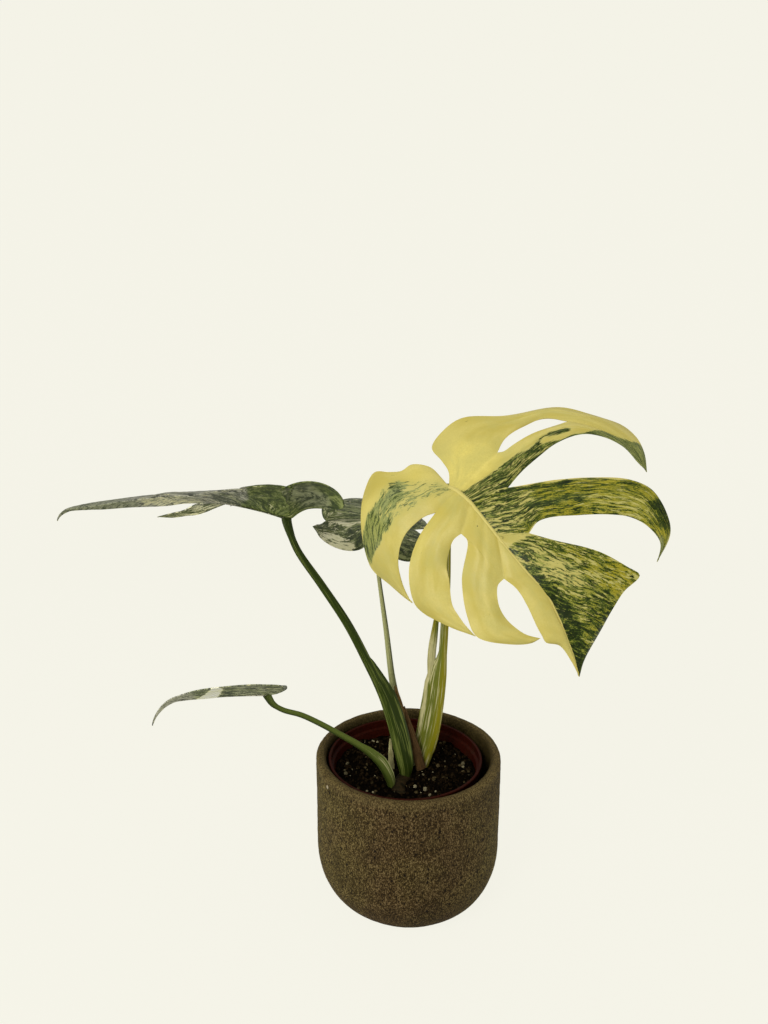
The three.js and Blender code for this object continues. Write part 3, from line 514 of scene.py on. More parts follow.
# The big blade: cream on the right half, marbled green on the left half
BIG = {
    "joint": [27.4, -20, 343.1], "heading": -57, "dip": 30, "roll": 24, "rib_bend": 0.004,
    "curl_from": 140, "curl": 0.004, "base_bend": -0.004, "length": 162, "sway": 15, "sway_span": 186,
    "rib_line": drawn("0,0 6,3.2 20,5.6 40,6.4 52,7.2 66,8.2 86,11 98,13.5 110,14.6 130,13 150,10 "
                      "162,7.2"),
    "stations": [0, 6, 20, 52, 66], "lobe_width": 42, "lobe_length": 120, "rib_width": 1.7,
    "left": {
        "slope": -8, "bend": 0, "droop_from": 85, "droop": 0.012, "pleat": 2.2, "rays": 6,
        "ribbing": 0.03, "veined": 0.3, "tips": drawn("64,125 64,125 120,92"),
        "base_edge": drawn("-12,7 -24,8 -38,8 -47,25 -48,41 -32,67 -15,106 0,123 18,143 32,144 48,137"),
        "slits": [
            slit("-5,45", "-12,56 -14,70 -12,86 -8,93", "-3,49 -4,59 -3,76 0,94", "2,104 18,119 40,129"),
            slit("25,34",
                 "19,51 16,67 14,85 19,109 38,123 54,124",
                 "39,67 48,86 65,110 78,119 97,117 108,111"),
            slit("62,27",
                 "58,38 68,64 78,82 87,94 97,100 110,101",
                 "76,40 97,62 114,73 122,77 127,60 142,34 154,15"),
        ],
    },
    "right": {
        "slope": 8, "bend": 0.006, "droop_from": 40, "droop": 0.018, "pleat": 3, "crease": 0.9,
        "crease_width": 4.2, "ribbing": 0.03, "veined": 0.35, "tips": drawn("53,-77 106,-42 128,-4"),
        "base_edge": drawn("-11,0 -24,-2 -34,-12 -34,-21 -39,-29 -46,-38 -40,-51 -20,-74 4,-90 25,-86 "
                           "44,-81"),
        "slits": [
            slit("12,-19", "9,-30 13,-50 23,-64 41,-75", "21,-41 36,-62 55,-75 65,-73 89,-57"),
            slit("37,-13",
                 "38,-20 50,-33 61,-38 77,-45 91,-45",
                 "44,-12 66,-30 91,-40 107,-41 122,-24 128,-11"),
            slit("81,-5",
                 "83,-11 94,-17 107,-17 120,-12",
                 "91,-1.5 105,-1 121,-2 127,-2 132,-2 138,5 150,7"),
        ],
    },
    "ground": {"green": 0.0, "dark": 0.5, "grey": 0.2, "tint": 0.05, "lemon": 0.15},
    "areas": [
        # Brighter yellow near the joint on both halves: partly the cream's own tone, partly a painted
        # highlight
        area("6,0 -8,6 -22,14 -30,30 -20,44 0,42 8,24", 9, lemon=0.9),
        area("-34,-8 -20,-4 -12,-8 -20,-22 -34,-18", 7, lemon=0.5),
        area("-10,-88 34,-84 50,-76 30,-66 -10,-74", 9, tint=0.3),
        area("60,132 20,142 -6,128 -30,84 -14,92 6,120 30,130", 8, tint=0.3),
        # Streaked band across the base lobe of the cream half
        area("-4,-4 -16,-17 -29,-27 -29,-38 -24,-50 -24,-60 -20,-67 -17,-75 -8,-86 0,-86 -1,-66 2,-56 "
             "-2,-45 -3,-33 -1,-20 3,-6 3,0", 3, green=0.56, dark=0.15, grey=0.8, tint=0.2),
        area("-5,-2 -16,-18 -24,-24 -18,-30 -4,-24 1,-8", 4, green=0.4),
        area("-20,-24 -29,-30 -28,-42 -22,-52 -14,-50 -14,-30", 4, green=0.74, dark=0.3, grey=0.7),
        area("-22,-57 -20,-67 -17,-76 -7,-88 2,-86 1,-66 -3,-56", 2.5, green=0.88, dark=0.25, grey=0.45,
             tint=0.4),
        band("39,-1.2 39.4,-0.8", 0.5, 0.4, green=0.8, dark=0.9),
    ],
    "left_areas": [
        # First lobe: a band above its lower edge, thinning towards the tip
        area("3,1 9.5,6.7 9,23 7.5,40 6.2,58 7,73 9,76 14,90 16,75 20,51 27,34 26,20 25,1", 1.1,
             green=0.64, dark=0.72, grey=0.1, tint=0.3),
        band("7.5,72 5,78 6,86 8.5,94 10,99", 1.5, 2.0, green=0.76, dark=0.9, grey=0.1),
        band("16,72 14,86 15,99 18,107", 0.9, 0.8, green=0.9, dark=0.7),
        area("14,99 18,109 22,121 30,126 38,132 42,140 50,138 66,125 56,122 40,120 27,116 19,108 13,99",
             1.5, green=0.9, dark=0.45, grey=0.6, tint=0.6),
        # Second lobe: dark near the midrib, olive further out
        area("20,1 26,34 38,62 48,86 65,110 80,124 100,122 122,92 108,96 97,96 87,90 78,78 68,60 58,36 "
             "62,27 52,3", 1.0, green=0.78, dark=0.34, grey=0.0, tint=0.9),
        area("22,1 26,34 36,46 50,44 58,34 54,3", 5, green=0.58, dark=0.66, grey=0.1, tint=0.4),
        band("27,34 36,52 44,70", 2.0, 2.4, green=0.92, dark=0.8),
        band("44,36 51,50 55,64 61,76", 1.2, 2.0, green=0.97, dark=0.95, grey=0.3),
        area("58,74 66,70 92,96 96,112 84,116 66,100", 4, green=0.6, dark=0.2, tint=0.75),
        band("70,62 80,82 88,92 97,98", 1.2, 1.8, green=0.92, dark=0.7),
        area("83,108 84,122 96,121 106,114 102,107 92,108", 2.2, green=0.95, dark=0.85),
        area("97,98 104,100 108,106 122,92 110,94", 1.8, green=0.88, dark=0.45, grey=0.6),
        # Pale wedge between the second and third lobes
        area("51,6 54,14 60,24 64,25 62,15 58,6", 2.0, green=0.3, dark=0.5, tint=0.1, lemon=0.0),
        # Third lobe: marbled, darkest beside the midrib, olive at its outer corner
        area("64,3 62,16 64,28 76,44 97,66 122,82 130,60 143,37 168,2 120,8 90,6", 1.4, green=0.64,
             dark=0.5, grey=0.05, tint=0.6),
        area("66,4 65,24 76,32 96,26 92,8 80,5", 4, green=0.6, dark=0.55, grey=0.15, tint=0.35),
        area("84,24 92,22 108,30 110,40 98,44 88,36", 3.5, green=0.45, dark=0.45, grey=0.35, tint=0.2),
        area("72,4 90,7 110,10 130,8 166,2 160,20 140,26 118,24 98,19 84,15", 2.5, green=0.86, dark=0.82,
             grey=0.05),
        area("82,44 98,56 112,60 118,50 104,42 90,38", 5, green=0.6, dark=0.35, grey=0.0, tint=0.85),
        area("100,62 124,82 132,58 118,50", 4, green=0.66, dark=0.25, grey=0.0, tint=0.95),
        area("124,40 134,24 160,16 150,36 132,52", 4, green=0.78, dark=0.6, tint=0.8),
    ],
}

# The left blade: green, with a hanging lobe flecked with cream
LEFT = {
    "joint": [-95.8, 18, 310.8], "heading": 180, "dip": -19.2, "roll": 20, "rib_bend": 0.0034,
    "curl_from": 165, "curl": 0.07, "twist_from": 80, "twist_to": 140, "base_bend": -0.16,
    "base_until": -6, "base_rest": 0.04, "length": 180, "stations": [0, 14, 50, 84], "lobe_width": 22,
    "lobe_length": 80, "rib_width": 1.5, "rib_green": 0.8,
    "left": {
        "tips": drawn("36,51 96,46"),
        "base_edge": drawn("-14,4 -28,7 -38,18 -39.5,33 -31,49 -13,60 6,61 22,56"),
        "slits": [
            slit("28,26", "30,34 33,43", "30.6,34 34.6,43.5 52,50 66,54 80,53"),
            slit("68,20", "76,27 86,38", "82,24 96,31 112,31 134,24 154,13 168,5"),
        ],
        "base_slope": -20.5, "slope": 0, "tip_slope": 12, "bend": 0.002, "droop_from": 40,
        "droop": 0.01, "pleat": 2,
    },
    "right": mirrored_half({
        "tips": drawn("50,46 110,51"), "base_edge": drawn("-10,3 -20,8 -24,20 -18,34 -4,44 14,48 34,49"),
        "slits": [
            slit("28,22", "34,30 42,39", "40,30 57,41 77,51 96,55"),
            slit("68,20", "75,31 91,46", "82,23 98,29 114,29 134,23 154,13 168,5"),
        ],
        "base_slope": -27, "slope": 1, "tip_slope": 7.5, "bend": 0.001, "droop_from": 28, "droop": 0.019,
        "pleat": 1.5,
    }),
    "ground": {"green": 0.82, "dark": 0.55, "grey": 0.0, "tint": 0.4, "lemon": 0.0},
    "areas": [
        area("-36,10 -20,50 0,56 -8,30 -16,8", 5, green=0.84, dark=0.4, grey=0.4),
        area("-20,-34 -8,-12 4,-10 2,-40 -10,-44", 5, green=0.85, dark=0.35),
        # Greyer beyond an edge that crosses the blade: a painted sheen
        area("35,-75 36,-22 41,-6 36,8 31,20 32,70 190,70 190,-75", 1.2, green=0.72, dark=0.5, grey=1.0,
             tint=0.0),
        area("37,-18 40,-4 36,10 40,34 58,24 56,0 48,-20", 4, dark=0.85, grey=0.75),
        area("72,-30 66,-6 84,8 116,2 124,-10 104,-28", 4, green=0.46, dark=0.45, grey=0.7, tint=0.1),
        area("52,-40 60,-64 118,-68 118,-40 80,-34 62,-32", 3, green=0.56, dark=0.85, grey=0.2, tint=0.0),
        area("122,-40 118,0 122,40 190,12 190,-12", 6, green=0.93, dark=0.35, grey=0.6, tint=0.3),
    ],
}

# The back blade: dark green marbled with cream
BACK = {
    "joint": [-27, 68, 293], "heading": 92, "dip": -25, "roll": 12, "rib_bend": 0.01, "curl_from": 100,
    "curl": 0.01, "base_bend": 0.002, "length": 116, "stations": [0, 6, 32, 56], "lobe_width": 26,
    "lobe_length": 60, "rib_width": 1.2, "rib_green": 0.5,
    "left": {
        "tips": drawn("15,56 66,38"), "base_edge": drawn("-10,4 -22,6 -30,14 -29,26 -21,38 -8,48 6,53"),
        "slits": [
            slit("15,43", "14,48 14.5,52", "20,45 28,46 38,46 55,44"),
            slit("42,16", "50,23 60,31", "54,22 68,28 84,24 100,12"),
        ],
        "base_slope": 15, "slope": 7, "bend": 0.002, "droop_from": 25, "droop": 0.014, "pleat": 2,
    },
    "right": mirrored_half({
        "tips": drawn("16,58 70,44"), "base_edge": drawn("-10,4 -24,6 -34,14 -35,28 -26,42 -10,52 4,57"),
        "slits": [
            slit("9,36", "8,44 11,52", "15,43 24,50 38,54 55,51"),
            slit("42,16", "50,24 60,34", "54,22 68,28 84,24 100,12"),
        ],
        "slope": 6, "bend": 0.002, "droop_from": 30, "droop": 0.008, "pleat": 2,
    }),
    "ground": {"green": 0.68, "dark": 0.68, "grey": 0.05, "tint": 0.1, "lemon": 0.0},
    "areas": [
        area("-32,20 -24,18 -12,30 -4,46 -14,52 -26,36", 4.5, green=0.38, dark=0.6, grey=0.2, tint=0.1),
        area("-22,10 -10,12 -6,24 -16,24", 3, green=0.78, dark=0.85),
        band("-2,22 6,30 10,40", 2.5, 2.5, green=0.45),
        band("2,12 20,18 34,30", 1.5, 2.0, green=0.5),
        area("8,8 12,26 40,30 44,16 30,8", 4, green=0.76, dark=0.45, grey=0.1),
        area("-40,-10 -40,-50 20,-60 20,-20 -10,-20", 4, green=0.76, dark=0.5, grey=0.1),
    ],
}

# The small blade: green, crossed by a cream wedge
SMALL_DRAWING = {
    "tips": [], "base_edge": drawn("-8,2 -15,8 -15,18 -5,28 14,32 36,28 58,18 78,6"), "slits": [],
}
SMALL = {
    "joint": [-110.1, -26, 182.2], "heading": 180, "dip": 0, "roll": 28, "rib_bend": 0.002,
    "curl_from": 66, "curl": 0.043, "base_bend": -0.02, "length": 95, "stations": [0, 6],
    "lobe_width": 30, "lobe_length": 90, "rib_width": 1.0, "rib_green": 0.8, "tip_grain": 20, "wave": 0.3,
    "left": {
        **SMALL_DRAWING, "base_slope": -14, "slope": -12, "bend": 0, "droop_from": 20, "droop": 0.012,
        "pleat": 1,
    },
    "right": mirrored_half({
        **SMALL_DRAWING, "base_slope": -18, "slope": -8, "bend": 0, "droop_from": 16, "droop": 0.014,
        "pleat": 1,
    }),
    "ground": {"green": 0.78, "dark": 0.55, "grey": 0.35, "tint": 0.2, "lemon": 0.0},
    "areas": [
        area("-18,-12 -12,0 -18,12 6,30 24,34 20,12 22,-12 20,-34 4,-30", 5, green=0.8, dark=0.5,
             grey=0.5),
        area("29,36 30,20 32,12 37,0 44,-14 50,-34 68,-30 61,-12 53,0 44,10 38,20 33,36", 1.6,
             green=0.06, dark=0.4, tint=0.0),
        area("26,30 28,8 33,0 38,-16 42,-34 36,-34 28,-8 22,12", 2.5, dark=0.9),
        # Greyer beyond the cream wedge: a painted sheen
        area("62,-40 56,0 50,40 100,10 100,-10", 5, green=0.86, dark=0.3, grey=1.0),
    ],
}

# Stalks

BIG_STALK = {
    "points": drawn("11.5,6,100 15,7,113 19.5,8,129 24.5,11,159 27.5,12,194 28.9,11,229 29.3,8,263 "
                    "28.6,2,297 28.3,-12,331 27.5,-19.2,343.4"),
    "widths": drawn("0,4.5 0.08,6 0.2,5.4 0.33,4.6 0.4,3.4 0.5,3.2 0.9,3.1 1,4"), "depth": 0.85,
    "towards": [-1, 0.15, 0],
    "heights": drawn("0,0 0.04,3 0.1,7 0.2,8 0.3,7.8 0.36,5 0.385,1.5 0.41,0 1,0"),
    "pale": drawn("0,0.45 0.12,0.3 0.3,0.25 0.6,0.3 0.85,0.35 1,0.5"), "fold_pale": 0.54,
}
FREE_SHEATH = {
    "points": drawn("18.6,12.8,178 18.6,12.9,192.5 19.3,12.8,204.4 20.1,12.8,211.2 21.6,12.8,223.9 "
                    "23.3,12.9,239.9"),
    "widths": drawn("0,2.8 0.25,3.3 0.5,3.2 0.75,2.3 1,1.4"), "depth": 0.35,
    "pale": drawn("0,0.7 0.5,0.62 0.7,0.3 1,0.12"),
}
LEFT_STALK = {
    "points": drawn("-3,-11,100 -3.5,-10,110 -7,-7,125 -12.3,-3,146 -19,0,166 -32,3,194 -48.6,8,226 "
                    "-68.8,12,257 -88,15,285.6 -94.2,16.5,301.6 -96.2,17.8,309.5 -96.2,18,311"),
    "widths": drawn("0,3.5 0.05,4.9 0.12,5.2 0.25,4.8 0.38,3.7 0.7,3.2 0.93,2.7 1,4"), "depth": 0.75,
    "towards": [1, 0, 0.2],
    "heights": drawn("0,0 0.03,1.8 0.08,4 0.15,5 0.3,5 0.38,3 0.43,1.2 0.445,0 1,0"),
    "pale": drawn("0,0.42 0.2,0.38 0.45,0.28 1,0.2"), "fold_pale": 0.4,
}
BACK_STALK = {
    "points": drawn("2.6,4.6,100 1.8,5.6,112 -2,8,128 -8,13,150 -12.8,20,172 -18,36,210 -24,52,250 "
                    "-28,64,281 -27.3,67,290.5"),
    "widths": drawn("0,4 0.1,4.6 0.4,2.6 0.75,1.7 0.95,1.6 1,2.6"), "towards": [-1, -0.4, 0],
    "pale": drawn("0,0.3 1,0.3"),
}
SMALL_STALK = {
    "points": drawn("-14,-25,100 -15.5,-24.8,109 -21.5,-24,121 -34,-23.5,134 -57.1,-24,149.5 "
                    "-70.9,-25,158.3 -83.8,-26,165.3 -97.5,-26,169.5 -105.1,-26,174.5 -109.6,-26,182.4"),
    "widths": drawn("0,2.6 0.1,3.4 0.25,2.8 0.5,2.2 0.9,1.9 1,3.2"), "towards": [0.6, 0, 1],
    "heights": drawn("0,0 0.08,1.5 0.2,3 0.3,1.2 0.35,0 1,0"),
    "pale": drawn("0,0.14 0.3,0.14 0.5,0.05 1,0.05"), "fold_pale": 0.62,
}
STEM = {
    "points": drawn("-6,-36,98 -9,-27,99 -6,-15,99 1,-3,98 10,5,97 20,9,95"),
    "widths": drawn("0,4.5 0.12,6.6 0.85,6.6 1,4"),
}


def stalk(route, steps=150, sides=40, ridges=0.1, lumps=0.0):
    """A tapering stalk. facts hold where each vertex lies along and around it, and how pale it is."""
    centre = spaced_curve(route["points"], steps)
    tangent = unit(np.gradient(centre, axis=0))
    facing = unit(np.array(route.get("towards", [1, 0, 0]), float))
    out = unit(facing - tangent * (tangent @ facing)[:, None])
    side = np.cross(tangent, out)
    t = np.linspace(0, 1, steps + 1)
    width = value_along(route["widths"], t)[:, None]
    fold = value_along(route.get("heights", [[0, 0], [1, 0]]), t)[:, None]
    angle = np.linspace(0, 2 * math.pi, sides, endpoint=False)[None, :]
    off = np.minimum(angle, 2 * math.pi - angle)
    spread = np.exp(-((off / FOLD_SPREAD) ** 2))
    grown = width + ridges * np.cos(angle * 11) * smoothstep(t, 0, 0.1)[:, None]
    out_reach = (grown + fold * spread) * np.cos(angle)
    rings = rings_round(centre, out, side, out_reach, grown * route.get("depth", 1) * np.sin(angle))
    if lumps:
        away = unit(rings - centre[:, None, :])
        rings += away * ((value_noise(rings, 3.5, 5) - 0.5) * lumps)[..., None]
    points, faces = tube(rings)
    length = np.linalg.norm(np.diff(centre, axis=0), axis=1).sum()
    pale = value_along(route.get("pale", [[0, 0], [1, 0]]), t)[:, None]
    on_fold = np.clip(fold / 4, 0, 1) * np.exp(-((off / (FOLD_SPREAD * 1.4)) ** 2))
    pale = pale + (route.get("fold_pale", 0) - pale) * on_fold
    facts = {
        "along": (t[:, None] * length + 0 * angle).ravel(),
        "round_x": (np.cos(angle) + 0 * width).ravel(),
        "round_y": (np.sin(angle) + 0 * width).ravel(),
        "pale": pale.ravel(),
    }
    return points, faces, facts


def root_route(i):
    """One of the roots, which spread from under the stem."""
    angle = (i / ROOT_COUNT) * math.pi * 2 + 0.4
    x, y = math.cos(angle), math.sin(angle)
    return {
        "points": [
            [-4 + 3 * x, -10 + 8 * y, 97], [-4 + 9 * x, -8 + 14 * y, 84],
            [-3 + 22 * x, -4 + 24 * y, 62], [-2 + 26 * x, 27 * y, 38],
        ],
        "widths": [[0, ROOT_WIDTH + 0.8], [0.3, ROOT_WIDTH], [1, 0.8]],
    }


def bract(foot, tip, half_width, facing, taper, rows=40, columns=14):
    """A curved scale that ends in a point."""
    start, rise, out = np.array(foot, float), np.array(tip, float) - foot, unit(np.array(facing, float))
    across = unit(np.cross(rise, out))
    points, facts = [], {"along": [], "around": []}
    for j in range(rows + 1):
        t = j / rows
        width = max(0.05, half_width * (0.75 + 0.5 * t) * (1 - t) ** taper)
        for k in range(columns + 1):
            share = 2 * k / columns - 1
            wobble = 0.35 * math.sin(t * 17 + share * 2) * abs(share) ** 2
            bulge = 0.45 * width * (1 - share * share) + 2 * t * (1 - t) + wobble
            bulge += 0.12 * math.cos(share * 14)
            points.append(start + rise * t + across * width * share + out * bulge)
            facts["along"].append(t * np.linalg.norm(rise))
            facts["around"].append(share)
    ids = np.arange(len(points)).reshape(rows + 1, columns + 1).tolist()
    faces = [face[::-1] for face in grid_faces(ids)]
    facts = {key: np.array(value) for key, value in facts.items()}
    return thickened(np.array(points), faces, facts, SCALE_THICKNESS)


# Pots and soil

def foot_curve(wall_radius, inset, floor_z, wall_z, count):
    """A quarter of an ellipse, from the floor's edge up to the wall."""
    angles = [math.pi / 2 * i / count for i in range(count + 1)]
    rise = wall_z - floor_z
    return [(wall_radius - inset + inset * math.sin(a), wall_z - rise * math.cos(a)) for a in angles]


def pot_radius(height):
    """The cover pot's outer radius, which draws in below the wall."""
    down = max(0, 1 - height / POT_FOOT_RISE)
    return POT_RADIUS - POT_FOOT_INSET * (1 - math.sqrt(1 - down**2))


def cover_pot():
    """A turned vessel with a rough skin and scattered pits."""
    inner, lip_centre, lip_z = POT_RADIUS - POT_WALL, POT_RADIUS - POT_WALL / 2, POT_HEIGHT - LIP_ROUND
    outside = foot_curve(POT_RADIUS, POT_FOOT_INSET, 0, POT_FOOT_RISE, FOOT_STEPS)
    inside = foot_curve(inner, POT_FOOT_INSET - 2, POT_FLOOR, POT_FOOT_RISE, INNER_FOOT_STEPS)[::-1]
    turns = [math.pi * i / LIP_STEPS for i in range(LIP_STEPS + 1)]
    lip = [(lip_centre + POT_WALL / 2 * math.cos(a), lip_z + LIP_ROUND * math.sin(a)) for a in turns]
    wall = subdivided([outside[-1], lip[0]], 1.15)[1:-1]
    hidden = subdivided([lip[-1], inside[0]], 4.0)[1:-1]
    points, faces = turned([(0, 0), *outside, *wall, *lip, *hidden, *inside, (0, POT_FLOOR)], POT_SIDES)
    normals = vertex_normals(points, faces)
    grown = lumpy(points, POT_SKIN, 1)
    for _ in range(PIT_COUNT):
        angle, height = chance.uniform(0, 2 * math.pi), chance.uniform(16, 110)
        radius, depth = chance.uniform(0.5, 1.2), chance.uniform(0.3, 0.8)
        out = pot_radius(height)
        apart = np.linalg.norm(points - [out * math.cos(angle), out * math.sin(angle), height], axis=1)
        grown -= depth * np.exp(-((apart / radius) ** 2))
    grown[points[:, 2] < 0.5] = 0
    grown[np.linalg.norm(points[:, :2], axis=1) <= inner + 0.5] *= 0.6
    return points + normals * grown[:, None], faces


def nursery_wall_radius(z):
    """The growing pot's outer radius at a height."""
    t = (z - NURSERY_BASE_Z) / (NURSERY_RIM_Z - NURSERY_BASE_Z)
    return NURSERY_BASE_RADIUS + (NURSERY_RIM_RADIUS - NURSERY_TAPER_END - NURSERY_BASE_RADIUS) * t


def nursery_pot():
    """A thin tapering pot with a stepped band, a beaded rim and drain holes."""
    rim, top, base, floor = NURSERY_RIM_RADIUS, NURSERY_RIM_Z, NURSERY_BASE_RADIUS, NURSERY_BASE_Z
    band_z, bead_z = top - NURSERY_BAND, top - NURSERY_BEAD_HEIGHT
    band, wall = rim - NURSERY_BEAD, nursery_wall_radius(band_z)
    inner, floor_top = band - NURSERY_WALL, floor + NURSERY_FLOOR
    points, faces = turned([
        (0, floor), (base, floor), (wall, band_z), (band, band_z), (band, bead_z),
        (rim - EDGE_ROUND, bead_z), (rim, bead_z + EDGE_ROUND), (rim, top - RIM_ROUND),
        (rim - RIM_ROUND, top), (inner + EDGE_ROUND, top), (inner, top - EDGE_ROUND),
        (inner, band_z + NURSERY_WALL), (wall - NURSERY_WALL, band_z), (base - NURSERY_WALL, floor_top),
        (0, floor_top),
    ], NURSERY_SIDES)
    made = mesh_object("growing_pot", points, faces)
    drills = []
    for i in range(DRAIN_COUNT):
        angle = i / DRAIN_COUNT * 2 * math.pi
        ring, drill_faces = turned([(0, 0), (DRAIN_RADIUS, 0), (DRAIN_RADIUS, 8), (0, 8)], 24)
        ring += [DRAIN_CIRCLE * math.cos(angle), DRAIN_CIRCLE * math.sin(angle), floor - 4]
        drills.append((ring, drill_faces, {}))
    drill = mesh_object("drill", *merged(drills))
    cut = made.modifiers.new("drains", "BOOLEAN")
    cut.object, cut.operation, cut.solver = drill, "DIFFERENCE", "EXACT"
    holed = bpy.data.meshes.new_from_object(made.evaluated_get(bpy.context.evaluated_depsgraph_get()))
    made.modifiers.clear()
    made.data = holed
    holed.name = "growing_pot"
    holed.set_sharp_from_angle(angle=math.radians(40))
    bpy.data.objects.remove(drill)
    holed.transform(Matrix.Translation((NURSERY_SHIFT_X / 1000, 0, 0)))
    return made


def soil_top(x, y):
    """The soil's height at a place, in mm, seen from its own centre."""
    broad = SOIL_Z + SOIL_LUMP * (np.sin(x / 7 + 1) * np.cos(y / 8) + 0.6 * np.sin((x + y) / 4.3))
    return broad + lumpy(np.stack([x, y, 0 * x], -1), SOIL_SKIN, 11)


def soil_body():
    """The soil that fills the growing pot, with a lumpy top."""
    bottom, clear = NURSERY_BASE_Z + NURSERY_FLOOR + 0.3, NURSERY_WALL + 0.1
    top_radius = nursery_wall_radius(SOIL_Z) - clear
    rings = [(float(r), SOIL_Z) for r in np.linspace(top_radius, 0.8, SOIL_RINGS)]
    outline = [(0, bottom), (nursery_wall_radius(bottom) - clear, bottom), *rings, (0, SOIL_Z)]
    points, faces = turned(outline, SOIL_SIDES)
    top = points[:, 2] > SOIL_Z - 0.1
    points[top, 2] = soil_top(points[top, 0], points[top, 1])
    points[:, 0] += NURSERY_SHIFT_X
    return points, faces


def lump(centre, size, seed):
    """A small irregular grain."""
    points, faces = turned([(0, -1), (0.72, -0.7), (1, 0), (0.72, 0.7), (0, 1)], 7)
    points = points * (1 + 0.5 * (value_noise(points + seed * 3.7, 0.8, seed) - 0.5))[:, None]
    points = points * [1, chance.uniform(0.7, 1), chance.uniform(0.5, 0.9)]
    a, b = chance.uniform(0, math.pi), chance.uniform(-0.6, 0.6)
    turn = np.array([[math.cos(a), -math.sin(a), 0], [math.sin(a), math.cos(a), 0], [0, 0, 1]])
    tilt = np.array([[1, 0, 0], [0, math.cos(b), -math.sin(b)], [0, math.sin(b), math.cos(b)]])
    return points @ (turn @ tilt).T * size + centre, faces, {"grain": np.full(len(points), chance.random())}


def on_soil(x, y, rise):
    """A place on the soil, lifted by a rise."""
    return np.array([x, y, float(soil_top(np.array(x - NURSERY_SHIFT_X), np.array(y))) + rise])


def scattered(count, sizes, reach):
    """Grains of random sizes, spread evenly over the soil as far as reach from its centre."""
    grains = []
    for i in range(count):
        radius, angle = reach * math.sqrt(chance.random()), chance.uniform(0, 2 * math.pi)
        size = chance.uniform(*sizes)
        x, y = NURSERY_SHIFT_X + radius * math.cos(angle), radius * math.sin(angle)
        grains.append(lump(on_soil(x, y, size * 0.25), size, i))
    return grains


# The larger bits of perlite that the photo shows: x, y and half width
PERLITE = drawn("-50.2,6.4,2 -50.8,-7,1.8 -51.8,-3,1.2 -29.7,44,2 -25.2,43,1.5 45.6,4.9,2 45.3,1.2,1.4 "
                "11.8,-9.9,1.5 12.3,-30.9,2 4.7,-25.4,1.5 15.8,-38.9,1.6 -33.1,-30.9,1.2 -28.4,-33.5,1 "
                "20.5,-33,1.1 9,-35,1")


# Materials

def linear(red, green, blue):
    """A display colour, each part from 0 to 255, as the shader's own numbers."""
    parts = [c / 255 for c in (red, green, blue)]
    return tuple(c / 12.92 if c <= 0.04045 else ((c + 0.055) / 1.055) ** 2.4 for c in parts) + (1.0,)


def dimmed(color, share):
    return tuple(c * share for c in color[:3]) + (1,)


